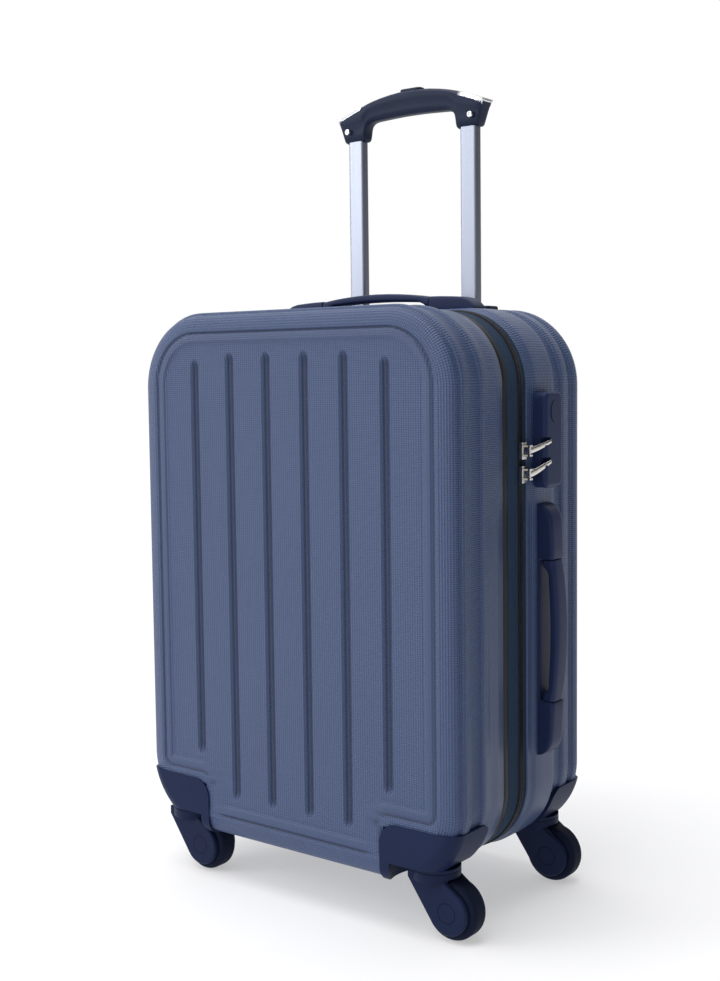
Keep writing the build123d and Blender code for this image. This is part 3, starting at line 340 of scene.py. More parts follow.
def facing(points, faces, away):
    """Each quad's normal; all are turned over together when on the whole they point against away."""
    a, b, c, d = (points[faces[:, i]] for i in range(4))
    normal = np.cross(c - a, d - b)
    return normal * (1.0 if np.einsum("ij,ij->", normal, away) > 0 else -1.0)


def make_piece(name, points, faces, body, material, nodes=(), uv=None, outward=None,
               numbers=None):
    """A mesh object from points in millimetres and quads, riding on a CAD body.

    outward gives a vector for each face to point along; a face that looks the other way is
    turned over. Points that no face uses are left out.
    """
    points = np.asarray(points, float)
    faces = np.asarray(faces)
    if outward is not None:
        a, b, c, d = (points[faces[:, i]] for i in range(4))
        normal = np.cross(c - a, d - b)
        wrong = np.einsum("ij,ij->i", normal, outward) < 0
        faces[wrong] = faces[wrong][:, ::-1]
        if uv is not None:
            uv = uv.copy()
            uv[wrong] = uv[wrong][:, ::-1]
    used, index = np.unique(faces, return_inverse=True)
    index = index.reshape(faces.shape)
    mesh = bpy.data.meshes.new(name)
    mesh.from_pydata((points[used] * MM).tolist(), [], index.tolist())
    if uv is not None:
        layer = mesh.uv_layers.new(name="surface")
        layer.data.foreach_set("uv", (uv.reshape(-1, 2) * MM).astype(np.float32).ravel())
    for key, values in (numbers or {}).items():
        layer = mesh.attributes.new(key, "FLOAT", "POINT")
        layer.data.foreach_set("value", np.asarray(values, np.float32)[used])
    mesh.polygons.foreach_set("use_smooth", np.full(len(faces), True))
    mesh.materials.append(material)
    mesh.update()
    thing = bpy.data.objects.new(name, mesh)
    bpy.context.scene.collection.objects.link(thing)
    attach(thing, body)
    if nodes:
        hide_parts(*nodes)
    return thing


def thicken(piece, name, thickness):
    """Gives a one-sided sheet its thickness, in millimetres, on the side its faces look away from."""
    wall = piece.modifiers.new(name, "SOLIDIFY")
    wall.thickness = thickness * MM
    wall.offset = -1.0


def rounded_outline(inset, arc_rows, low_rows, side_rows):
    """The case's outline moved in by inset, as the rows of a grid.

    Rows follow the corner arcs by even angles. On the upright sides they are close together
    over the lowest 22 mm, where ribs end, and wide apart above. Returns the rows' heights,
    their half-widths, and the angle of the outward normal at each row's right end.
    """
    half_width, half_height, r = SIDE_X - inset, HALF_HEIGHT - inset, CORNER_RADIUS - inset
    angle = np.linspace(-math.pi / 2, 0, arc_rows + 1)
    foot, head = -(half_height - r), half_height - r
    side = np.concatenate([np.linspace(foot, foot + 22.0, low_rows + 1)[:-1],
                           np.linspace(foot + 22.0, head, side_rows + 1)])
    z = np.concatenate([foot + r * np.sin(angle[:-1]), side, head + r * np.sin(-angle[::-1][1:])])
    turn = np.concatenate([angle[:-1], np.zeros(len(side)), -angle[::-1][1:]])
    return z + MIDDLE_Z, (half_width - r) + r * np.cos(turn), turn


def border_of(rows, columns, turn):
    """A face grid's border points in order round the case, and each one's outward normal."""
    grid = np.arange(rows * columns).reshape(rows, columns)
    ring = np.concatenate([grid[0, :], grid[1:, -1], grid[-1, -2::-1], grid[-2:0:-1, 0]])
    angle = np.concatenate([np.full(columns, -math.pi / 2), turn[1:],
                            np.full(columns - 1, math.pi / 2), math.pi - turn[-2:0:-1]])
    return ring, np.stack([np.cos(angle), np.zeros_like(angle), np.sin(angle)], 1)


def flank_faces(ring, face_count, levels):
    """Quads of a flank whose first ring is the border and whose others follow the face's points.

    Returns the quads within the flank's own grid, and the same quads among all the points.
    """
    count = len(ring)
    later = face_count + np.arange((levels - 1) * count).reshape(-1, count)
    cells = wrap_faces(levels, count, close_columns=True)
    return cells, np.concatenate([ring[None], later]).reshape(-1)[cells]


def run_profile(knots):
    """A smooth line through (depth, inset) knots that never swings past one.

    Each stretch is a cubic; the slope at a knot is the harmonic mean of the slopes on both
    sides, or none where the line turns back there.
    """
    depth, inset = np.asarray(knots, float).T
    run, rise = np.diff(depth), np.diff(inset)
    slope = rise / run
    before, after = slope[:-1], slope[1:]
    turning = before * after <= 0
    mean = np.where(turning, 0, 2 * before * after / np.where(turning, 1, before + after))
    start = np.concatenate([[slope[0]], mean]) * run
    end = np.concatenate([mean, [slope[-1]]]) * run
    steps = np.where(np.abs(rise) < 0.6, 1, 3)
    which = np.repeat(np.arange(len(run)), steps)
    t = (np.arange(len(which)) - np.repeat(np.cumsum(steps) - steps, steps)) / steps[which]
    bend = t * (1 - t) * ((1 - t) * start[which] - t * end[which])
    curve = inset[which] + rise[which] * t * t * (3 - 2 * t) + bend
    return np.append(depth[which] + run[which] * t, depth[-1]), np.append(curve, inset[-1])


def round_meet(a, b, r):
    """The distance to where two distance fields meet, with the corner rounded to radius r."""
    corner = np.hypot(np.maximum(a + r, 0), np.maximum(b + r, 0)) - r
    return np.where((a > -r) & (b > -r), corner, np.maximum(a, b))


def panel_distance(x, z, notch_z):
    """Distance outside the front panel's outline, which steps round each wheel housing.

    The outline is a box, rounded at the top, met with the outside of a rounded notch in each
    lower corner.
    """
    middle, height, r = (PANEL_TOP + PANEL_BOTTOM) / 2, (PANEL_TOP - PANEL_BOTTOM) / 2, 49.0
    qx = np.abs(x) - PANEL_HALF + r
    qz = np.abs(z - middle) - height + r
    box = np.hypot(np.maximum(qx, 0), np.maximum(qz, 0)) + np.minimum(np.maximum(qx, qz), 0) - r
    lower = np.maximum(np.abs(x) - PANEL_HALF, np.abs(z - middle) - height)
    box = np.where(z < middle - 60, lower, box)
    notch = round_meet(NOTCH_X - np.abs(x), z - notch_z, 17.0)
    return round_meet(box, -notch, 9.0)


def groove_depth(x, z, places, width):
    """How deep the pressed ribs are: a round trough about each rib's line, tapering at its ends."""
    depth = np.zeros_like(x)
    for place in places:
        low, high = OUTER_RIB_ENDS if abs(place) == RIBS[-1] else INNER_RIB_ENDS
        past = np.maximum(np.maximum(z - (high - width), (low + width) - z), 0)
        away = np.hypot(x - place, past * 0.62) / (width / 2)
        depth = np.maximum(depth, np.clip(1 - away ** 2, 0, 1) ** 0.85)
    return depth


def pressed_half(name, side, knots, places, panel, body, nodes, material, sizes, cut=None):
    """One half of the case as one sheet: a face grid, and a flank carried round its border.

    The face is y as a function of x and z. The flank is the border's points moved outwards by
    the profile's inset at each depth. side is -1 for the front half and 1 for the rear half.
    panel is true for the half that has the sunk front panel.
    """
    z, width, turn = rounded_outline(BORDER, 44, 14, 12)
    # the grid's columns are close together over each rib and wide apart between them
    edges = [0.0]
    fine = sizes.groove_width / 2 + 1.2
    for place in RIBS[3:]:
        if edges[-1] < place - fine:
            edges += list(np.linspace(edges[-1], place - fine, 5)[1:])
        edges += list(np.linspace(place - fine, place + fine, 12)[1:])
    inner = np.array(edges) / edges[-1]
    band = np.concatenate([np.linspace(0, 0.45, 5)[1:], np.linspace(0.45, 1.0, 24)[1:]])
    zone = np.minimum(edges[-1], 0.86 * width)[:, None]
    outer = zone + (width[:, None] - zone) * band[None, :]
    right = np.concatenate([zone * inner[None, :], outer], 1)
    x = np.concatenate([-right[:, :0:-1], right], 1)
    zz = np.repeat(z[:, None], x.shape[1], 1)
    low = groove_depth(x, zz, places, sizes.groove_width)
    height = -sizes.groove_depth * low
    # the ribs' troughs and the panel's outline line, kept for the material, which darkens them there as
    # painted shade
    recess_shade = low.copy()
    off = panel_distance(x, zz, NOTCH_Z if panel else -200.0)
    rim_line = np.exp(-(off / 1.7) ** 2)
    height -= 1.7 * rim_line
    recess_shade = np.maximum(recess_shade, rim_line)
    woven_here = np.ones_like(x)
    if panel:
        height -= sizes.panel_sink * step(-off, 7.6, 10.8)
        height -= 0.3 * np.exp(-((off + 11.6) / 1.1) ** 2)
        woven_here = 1 - 0.55 * step(-off, 0.4, 1.6) * (1 - step(-off, 8.5, 10.5))
    rows, columns = x.shape
    face = np.stack([x, side * (FACE_Y + height), zz], 2).reshape(-1, 3)
    ring, normal = border_of(rows, columns, turn)
    depth, inset = run_profile(knots)
    strip = face[ring][None] + (BORDER - inset)[:, None, None] * normal[None]
    strip[:, :, 1] = side * (FACE_Y - depth)[:, None]
    strip[0] = face[ring]
    count = len(ring)
    points = np.concatenate([face, strip[1:].reshape(-1, 3)])
    cells, flank = flank_faces(ring, len(face), len(depth))
    quads = np.concatenate([wrap_faces(rows, columns), flank])
    for swivel_x, swivel_y in SWIVELS:
        if swivel_y * side > 0:
            reach = np.hypot(points[:, 0] - swivel_x, points[:, 1] - swivel_y)
            in_well = (reach < WELL_RADIUS) & (points[:, 2] < WELL_TOP)
            points[in_well, 2] = WELL_TOP
    middle = points[quads].mean(1)
    # outwards: away from a line that runs through the middle of the half
    away = middle - np.stack([middle[:, 0] * 0.6, np.full(len(middle), side * 40.0),
                              MIDDLE_Z + (middle[:, 2] - MIDDLE_Z) * 0.6], 1)
    front = np.tile([0.0, side, 0.0], (len(quads) - len(flank), 1))
    away = np.concatenate([front, facing(points, flank, away[len(front):])])
    arc = np.concatenate([[0], np.cumsum(np.linalg.norm(np.diff(face[ring], axis=0), axis=1))])
    travel = np.concatenate([[0], np.cumsum(np.hypot(np.diff(depth), np.diff(inset)))])
    face_uv = np.stack([x.ravel(), zz.ravel()], 1)[wrap_faces(rows, columns)]
    flank_uv = np.stack([np.tile(travel[:, None], (1, count)), np.tile(arc[None], (len(depth), 1))], 2)
    flank_uv = flank_uv.reshape(-1, 2)[cells]
    # the last column of quads ends at the first point, whose distance along the border is 0
    closing = flank_uv[:, :, 1].max(1) - flank_uv[:, :, 1].min(1) > 200
    last = flank_uv[closing, :, 1]
    flank_uv[closing, :, 1] = np.where(last < 1, arc[-1] + 2, last)
    uv = np.concatenate([face_uv, flank_uv])
    keep = ~((np.abs(middle[:, 0]) > SIDE_X - HOUSING_WIDTH) & (middle[:, 2] < HOUSING_TOP)
             & (middle[:, 1] * side > FACE_Y - HOUSING_DEPTH))
    if cut is not None:
        keep &= ~cut(middle)
    fade = 1 - step(depth, 34, 52)[1:, None]
    upper = step(points[len(face):, 2].reshape(-1, count), MIDDLE_Z - 60, CASE_TOP - 60)
    flank_woven = np.clip(0.25 + fade + 0.75 * upper, 0, 1)
    numbers = {"woven": np.concatenate([woven_here.ravel(), flank_woven.ravel()]),
               "recess_shade": np.concatenate([recess_shade.ravel(), np.zeros(flank_woven.size)])}
    shell = make_piece(name, points, quads[keep], body, material, nodes, uv[keep],
                       away[keep], numbers)
    thicken(shell, "sheet", SHEET_THICKNESS)


def swept_ring(insets, depths, count, wave=None):
    """A closed section carried round the case's outline.

    insets and depths are the section's corners. wave, where given, is added to the inset as a
    function of the distance along the ring, which makes the coil's teeth. The outline is eight
    runs, a straight and a corner arc in turn, from the foot of the +X side. Returns the points
    and each row's distance along the ring.
    """
    r = CORNER_RADIUS
    x0, z0, arc = SIDE_X - r, HALF_HEIGHT - r, math.pi / 2
    lengths = [2 * z0, r * arc, 2 * x0, r * arc] * 2
    s = np.linspace(0, OUTLINE_LENGTH, count, endpoint=False)
    starts = np.concatenate([[0], np.cumsum(lengths)])
    which = np.clip(np.searchsorted(starts, s, side="right") - 1, 0, 7)
    t = (s - starts[which]) / np.array(lengths)[which]
    turn = np.where(which % 2 == 0, (which // 2) * arc, (which // 2) * arc + t * arc)
    normal = np.stack([np.cos(turn), np.zeros(count), np.sin(turn)], 1)
    runs = [which == 0, which == 2, which == 4, which == 6]
    base_x = np.select(runs, [np.full(count, x0), x0 * (1 - 2 * t), np.full(count, -x0), x0 * (2 * t - 1)],
                       np.array([x0, x0, x0, -x0, -x0, -x0, -x0, x0])[which])
    base_z = np.select(runs, [z0 * (2 * t - 1), np.full(count, z0), z0 * (1 - 2 * t), np.full(count, -z0)],
                       np.array([0, z0, 0, z0, 0, -z0, 0, -z0])[which])
    base = np.stack([base_x, np.zeros(count), base_z], 1)
    inset, depth = (np.asarray(v, float)[None, :] for v in (insets, depths))
    if wave is not None:
        inset = inset + wave(s[:, None], depth)
    points = base[:, None, :] + (r - inset)[..., None] * normal[:, None, :]
    points[..., 1] = depth
    points[..., 2] += MIDDLE_Z
    return points, s


def ring_piece(name, insets, depths, body, material, nodes, count=480, wave=None):
    """A ring swept round the case, with its distance along the case and round the section as UV."""
    points, s = swept_ring(insets, depths, count, wave)
    rows, columns = points.shape[:2]
    cells = wrap_faces(rows, columns, True, True)
    flat = points.reshape(-1, 3)
    centre = points.mean(1)
    middle = flat[cells].mean(1)
    outward = middle - centre[cells[:, 0] // columns]
    around = np.concatenate([[0], np.cumsum(np.hypot(np.diff(insets), np.diff(depths)))])
    uv = np.stack([np.tile(s[:, None], (1, columns)), np.tile(around[None], (rows, 1))], 2)
    uv = uv.reshape(-1, 2)[cells]
    last = uv[:, :, 0].max(1) - uv[:, :, 0].min(1) > 100
    uv[last, :, 0] = np.where(uv[last, :, 0] < 1, s[-1] + s[1], uv[last, :, 0])
    return make_piece(name, flat, cells, body, material, nodes, uv, outward)


def mirrored(stations):
    """Stations for both ends, from those of the positive end."""
    stations = np.asarray(stations, float)
    back = stations[::-1] * np.array([-1, 1, -1, 1])
    return np.concatenate([back[:-1] if stations[0, 0] == 0 else back, stations])


def bar_points(stations, widths, power, around=40, waist=0.0):
    """A bar whose section changes along it, as (along, height, across) points.

    Each station holds the top point and the bottom point of one section, which is a
    superellipse between them. widths holds the half-width at the top and at the bottom. waist
    hollows the two long faces a little below half height.
    """
    stations = np.asarray(stations, float)
    turn = 2 * math.pi * (np.arange(around) + 0.5) / around
    up = np.sign(np.sin(turn)) * np.abs(np.sin(turn)) ** (2 / power)
    out = np.sign(np.cos(turn)) * np.abs(np.cos(turn)) ** (2 / power)
    top, bottom = stations[:, :2], stations[:, 2:]
    middle, half = (top + bottom) / 2, (top - bottom) / 2
    line = middle[:, None, :] + half[:, None, :] * up[None, :, None]
    share = (1 + up) / 2
    tall = np.clip(np.linalg.norm(half, axis=1) / np.linalg.norm(half, axis=1).max(), 0, 1)
    width = widths[1] + (widths[0] - widths[1]) * share
    hollow = waist * np.exp(-((share - 0.42) / 0.17) ** 2)
    across = out[None] * (width[None] - hollow[None] * tall[:, None])
    return np.concatenate([line, across[..., None]], 2)


def bar_piece(name, points, place, body, material, nodes):
    """A bar's points put in place and closed with a flat grid of quads at each end.

    place holds the origin and the directions of along, height and across.
    """
    origin, along, height, across = (np.asarray(v, float) for v in place)
    rows, columns = points.shape[:2]
    flat = origin + points.reshape(-1, 3) @ np.stack([along, height, across])
    cells = wrap_faces(rows, columns, close_columns=True)
    centre = flat.reshape(rows, columns, 3).mean(1)
    outward = flat[cells].mean(1) - centre[cells[:, 0] // columns]
    i = np.arange(columns // 2 - 1)
    lid = np.stack([i, i + 1, columns - 2 - i, columns - 1 - i], 1)
    cells = np.concatenate([cells, lid, lid + (rows - 1) * columns])
    way = centre[-1] - centre[0]
    outward = np.concatenate([outward, np.tile(-way, (len(lid), 1)), np.tile(way, (len(lid), 1))])
    make_piece(name, flat, cells, body, material, nodes, None, outward)


# ---------------------------------------------------------------- sizes and colours
def size_property(name, description, default, low, high):
    """A size in millimetres that a user can change."""
    return bpy.props.FloatProperty(name=name, description=description + ", mm",
                                   default=default, min=low, max=high)


class SuitcaseSizes(bpy.types.PropertyGroup):
    """Sizes of the visible detail, in millimetres."""
    groove_width: size_property("Rib width", "Width of each pressed rib on the faces", 10.0, 4, 20)
    groove_depth: size_property("Rib depth", "Depth of each pressed rib", 3.9, 1, 4)
    panel_sink: size_property("Panel sink", "How far the front panel lies below its border", 1.3, 0, 4)
    weave_across: size_property("Weave across", "Pitch of the pressed weave across the face", 2.5, 1, 6)
    weave_along: size_property("Weave along", "Pitch of the pressed weave up the face", 1.9, 1, 6)
    tooth_pitch: size_property("Tooth pitch", "Distance between the zip's teeth", 2.0, 1, 4)


def colour_property(name, description, default):
    """A linear RGBA colour that a user can change."""
    return bpy.props.FloatVectorProperty(name=name, description=description, subtype="COLOR",
                                         size=4, min=0, max=1, default=default)


class SuitcaseColours(bpy.types.PropertyGroup):
    """Colours of the finishes."""
    shell: colour_property("Shell", "Pressed shells", (0.045, 0.074, 0.166, 1))
    housing: colour_property("Housing", "Wheel housings, forks, lock and handles", (0.012, 0.020, 0.060, 1))
    dark: colour_property("Dark trim", "Trolley grip and bezel", (0.013, 0.020, 0.048, 1))
    tyre: colour_property("Tyre", "Tyres", (0.008, 0.012, 0.030, 1))
    tape: colour_property("Zip tape", "Cloth tape of the zip", (0.012, 0.034, 0.075, 1))
    metal: colour_property("Aluminium", "Trolley tubes", (0.31, 0.335, 0.41, 1))
    nickel: colour_property("Nickel", "Zip sliders and pulls", (0.72, 0.70, 0.66, 1))
    lining: colour_property("Lining", "Cloth inside the case", (0.075, 0.080, 0.095, 1))


finishes = {}


def settings():
    """The scene's sizes and colours."""
    return bpy.context.scene.suitcase_sizes, bpy.context.scene.suitcase_colours


def finish_of(key):
    """A finish by its name, made when it is first asked for."""
    sizes, colours = settings()
    makers = {
        "shell": lambda: pressed_shell(colours.shell, sizes.weave_across * MM, sizes.weave_along * MM),
        "housing": lambda: moulded("housing_plastic", colours.housing, 0.42, shine=0.08),
        "handle": lambda: moulded("handle_plastic", shade(colours.housing, 1.25), 0.4, 500.0,
                                  0.00004, 0.13),
        "dark": lambda: moulded("grip_plastic", colours.dark, 0.42, 600.0, 0.00005, 0.14),
        "rubber": lambda: moulded("piping_rubber", (0.006, 0.007, 0.012, 1), 0.5),
        "coil": lambda: moulded("coil_plastic", (0.006, 0.006, 0.010, 1), 0.35),
        "fork": lambda: fork_plastic(colours.housing, FORK_AXLES, AXLE_HEIGHT, AXLE_COVER_RADIUS),
        "core": lambda: moulded("wheel_plastic", shade(colours.dark, 0.9), 0.35),
        "tyre": lambda: tread(colours.tyre),
        "tape": lambda: woven("tape_cloth", colours.tape, 0.9 * MM, False, 0.05),
        "lining": lambda: woven("lining_cloth", colours.lining, 1.2 * MM, True, 0.4),
        "strap": lambda: woven("strap_webbing", (0.02, 0.02, 0.026, 1), 1.6 * MM, True, 0.2, True),
        "aluminium": lambda: drawn_metal("satin_aluminium", colours.metal, 0.34, 2),
        "silver": lambda: plated("silver_plate", (0.80, 0.81, 0.84, 1), 0.16),
        "steel": lambda: plated("plain_steel", (0.55, 0.55, 0.56, 1), 0.3),
        "nickel": lambda: plated("bright_nickel", colours.nickel, 0.12),
    }
    if key not in finishes:
        finishes[key] = makers[key]()
    return finishes[key]


# ---------------------------------------------------------------- operators
class SUITCASE_OT_shells(bpy.types.Operator):
    """Make both pressed halves"""
    bl_idname = "suitcase.shells"
    bl_label = "Shells"

    def execute(self, context):
        sizes, _ = settings()
        # each half's profile, as depth behind the face and inset from the outline
        front = [(0.2, 19.0), (0.9, 15.0), (2.4, 9.5), (4.4, 5.4), (6.6, 3.6), (9.6, 3.2),
                 (11.0, 3.0), (12.6, 0.25), (15.5, 0.0), (23.4, 1.1), (27.0, 2.8), (38.6, 3.0),
                 (41.0, 0.3), (43.5, 0.0), (51.4, 1.3), (56.0, 2.8), (61.0, 2.85),
                 (66.3, 2.9), (67.6, 2.92), (78.0, 3.0)]
        rear = [(0.2, 19.0), (1.4, 13.0), (4.0, 7.0), (8.0, 3.2), (12.0, 1.0), (16.0, 0.1),
                (20.0, 0.4), (22.5, 2.8), (29.5, 3.0), (31.5, 0.3), (41.5, 0.3), (44.0, 2.8),
                (55.5, 3.0), (58.0, 0.3), (62.0, 0.0), (66.3, 0.02), (67.6, 0.03),
                (78.0, 0.1), (90.0, 0.2), (95.5, 2.4), (102.0, 3.0)]
        bezel_low, bezel_high = box_of("trolley_bezel")

        def bezel_hole(points):
            """True for the points of the rear half's top that lie inside the trolley's bezel."""
            inside = (points[:, :2] > bezel_low[:2] + 3) & (points[:, :2] < bezel_high[:2] - 3)
            return inside.all(1) & (points[:, 2] > CASE_TOP - 12)

        # the rear half has no rib where the trolley's tubes run
        rear_ribs = [RIBS[i] for i in (0, 2, 3, 5)]
        pressed_half("shell_front", -1, front, RIBS, True, "lid", ("front_shell",),
                     finish_of("shell"), sizes)
        pressed_half("shell_rear", 1, rear, rear_ribs, False, "rear_case", ("rear_shell",),
                     finish_of("shell"), sizes, bezel_hole)
        return {"FINISHED"}


class SUITCASE_OT_closure(bpy.types.Operator):
    """Make the piping and both rows of the zip's teeth"""
    bl_idname = "suitcase.closure"
    bl_label = "Zip and piping"

    def execute(self, context):
        sizes, _ = settings()
        turn = np.linspace(0, 2 * math.pi, 14, endpoint=False)
        ring_piece("piping", 4.6 - 1.0 * np.cos(turn), -27.0 + 4.8 * np.sin(turn), "lid",
                   finish_of("rubber"), ("front_piping",))
        teeth = round(OUTLINE_LENGTH / sizes.tooth_pitch)

        def teeth_of(phase):
            """The teeth's height along the ring, as a wave with flattened crests."""
            return lambda s, _: -0.38 * np.tanh(
                3 * np.cos(2 * math.pi * (s / OUTLINE_LENGTH * teeth + phase)))

        for name, body, near, far, phase, node in (
                ("coil_front", "lid", -4.1, -1.2, 0.0, "front_zip_teeth"),
                ("coil_rear", "rear_case", -0.8, 2.1, 0.5, "rear_zip_teeth")):
            insets = np.array([5.3, 3.4, 3.15, 3.15, 3.4, 5.3])
            depths = np.array([near, near, near + 0.6, far - 0.6, far, far])
            ring_piece(name, insets, depths, body, finish_of("coil"), (node,),
                       teeth * 6, teeth_of(phase))
        return {"FINISHED"}


class SUITCASE_OT_lining(bpy.types.Operator):
    """Make the cloth lining of both halves, the pocket and the packing straps"""
    bl_idname = "suitcase.lining"
    bl_label = "Lining"

    def execute(self, context):
        for name, side, node, body in (("lining_front", -1, "front_lining", "lid"),
                                       ("lining_rear", 1, "rear_lining", "rear_case")):
            low, high = box_of(node)
            floor = max(abs(low[1]), abs(high[1])) - 0.6
            self.tray(name, side, floor, node, body)
        self.pocket()
        self.straps()
        return {"FINISHED"}

    def tray(self, name, side, floor, node, body):
        """A grid over the floor whose outer rings turn up into walls, with soft shallow puckers.

        The border is the case's outline moved in; over each wheel housing the cloth is raised.
        """
        start, inset = 12.0, 6.9
        z, width, turn = rounded_outline(start, 10, 5, 36)
        across = np.linspace(-1, 1, 61)
        x = width[:, None] * across[None]
        zz = np.repeat(z[:, None], 61, 1)
        pucker = 0.35 * np.sin(x / 19.0 + 1.3 * np.sin(zz / 47.0)) * np.sin(zz / 31.0 + 0.7)
        face = np.stack([x, side * (floor - 0.5 + 0.9 * pucker), zz], 2).reshape(-1, 3)
        rows, columns = x.shape
        ring, normal = border_of(rows, columns, turn)
        depth = np.concatenate([np.linspace(0, 5, 5), np.linspace(8, floor - 12.5, 24)])
        out = (start - inset) * np.sqrt(np.clip(1 - (1 - np.clip(depth / 5, 0, 1)) ** 2, 0, 1))
        count = len(ring)
        wave = 0.25 * np.sin(np.arange(count) * 0.55)[None] * np.sin(depth / 9.0)[:, None]
        strip = face[ring][None] + (out[:, None] + wave)[..., None] * normal[None]
        strip[:, :, 1] = side * (floor - 0.5 - depth)[:, None]
        strip[0] = face[ring]
        points = np.concatenate([face, strip[1:].reshape(-1, 3)])
        cells, flank = flank_faces(ring, len(face), len(depth))
        quads = np.concatenate([wrap_faces(rows, columns), flank])
        # the cloth passes over each wheel housing's box: points move out from behind the corner
        behind = np.array([SIDE_X + 18.0, FACE_Y + 18.0, -(CASE_BOTTOM - 18.0)])
        reach = behind - np.array([SIDE_X - 87.0, FACE_Y - 71.5, -102.2])
        within = behind - np.stack([np.abs(points[:, 0]), np.abs(points[:, 1]), -points[:, 2]], 1)
        grow = np.maximum((reach / np.maximum(within, 1.0)).min(1), 1.0)[:, None]
        moved = behind - within * grow
        points = np.stack([np.sign(points[:, 0]) * moved[:, 0], side * np.abs(moved[:, 1]),
                           -moved[:, 2]], 1)
        middle = points[quads].mean(1)
        inward = np.array([0, 0, MIDDLE_Z])[None] - middle
        base = (rows - 1) * (columns - 1)
        inward = np.concatenate([np.tile([0.0, -side, 0.0], (base, 1)),
                                 facing(points, quads[base:], inward[base:])])
        uv = np.concatenate([points[:, [0, 2]][wrap_faces(rows, columns)],
                             np.stack([np.tile(np.arange(count)[None] * 5.0, (len(depth), 1)),
                                       np.tile(depth[:, None], (1, count))], 2).reshape(-1, 2)[cells]])
        cloth = make_piece(name, points, quads, body, finish_of("lining"), (node,), uv, inward)
        thicken(cloth, "cloth", 0.8)
        wide, long = 2 * (SIDE_X - inset) + 2 * floor, 2 * (HALF_HEIGHT - inset) + 2 * floor
        wide * MM
        long * MM

    def pocket(self):
        """A flat pocket whose open top edge is gathered: a shallow sine ripple that grows upwards."""
        low, high = box_of("lining_pocket")
        u, v = np.meshgrid(np.linspace(0, 1, 121), np.linspace(0, 1, 41), indexing="ij")
        x = low[0] + (high[0] - low[0]) * u
        z = low[2] + (high[2] - low[2]) * v
        y = low[1] + 0.9 + 0.35 * v * np.sin(u * 150.0) + 0.1 * np.sin(v * 20)
        points = np.stack([x, y, z], 2).reshape(-1, 3)
        cells = wrap_faces(121, 41)
        piece = make_piece("pocket_cloth", points, cells, "lid", finish_of("lining"),
                           ("lining_pocket",), points[:, [0, 2]][cells],
                           np.tile([0, 1.0, 0], (len(cells), 1)))
        thicken(piece, "cloth", 0.5)

    def straps(self):
        """Four webbing bands from the buckle to the corners: a flat section along a straight run."""
        low, high = box_of("packing_straps")
        blow, bhigh = box_of("strap_buckle")
        ends = (low[2] + 12.5, high[2] - 12.5)
        points, cells, uvs, outs, total = [], [], [], [], 0
        for x_side in (-1, 1):
            for end in ends:
                begin = (bhigh[2] + blow[2]) / 2 + (6 if end > MIDDLE_Z else -6)
                t = np.linspace(0, 1, 40)
                x = x_side * (bhigh[0] - 1 + (high[0] - bhigh[0] + 1) * t)
                z = begin + (end - begin) * t
                y = high[1] - 0.15 - 0.3 * np.sin(math.pi * t)
                across = np.array([-11.5, -11, 11, 11.5, 11, -11])
                thick = np.array([0.5, 1.05, 1.05, 0.5, 0.0, 0.0])
                p = np.stack([np.repeat(x[:, None], 6, 1), y[:, None] - thick[None],
                              z[:, None] + across[None]], 2)
                c = wrap_faces(40, 6, False, True)
                flat = p.reshape(-1, 3)
                points.append(flat)
                cells.append(c + total)
                outs.append(flat[c].mean(1) - p.mean(1)[c[:, 0] // 6])
                uvs.append(np.stack([flat[:, 2], flat[:, 0]], 1)[c])
                total += len(flat)
        make_piece("strap_webbing", np.concatenate(points), np.concatenate(cells), "rear_case",
                   finish_of("strap"), ("packing_straps",), np.concatenate(uvs),
                   np.concatenate(outs))


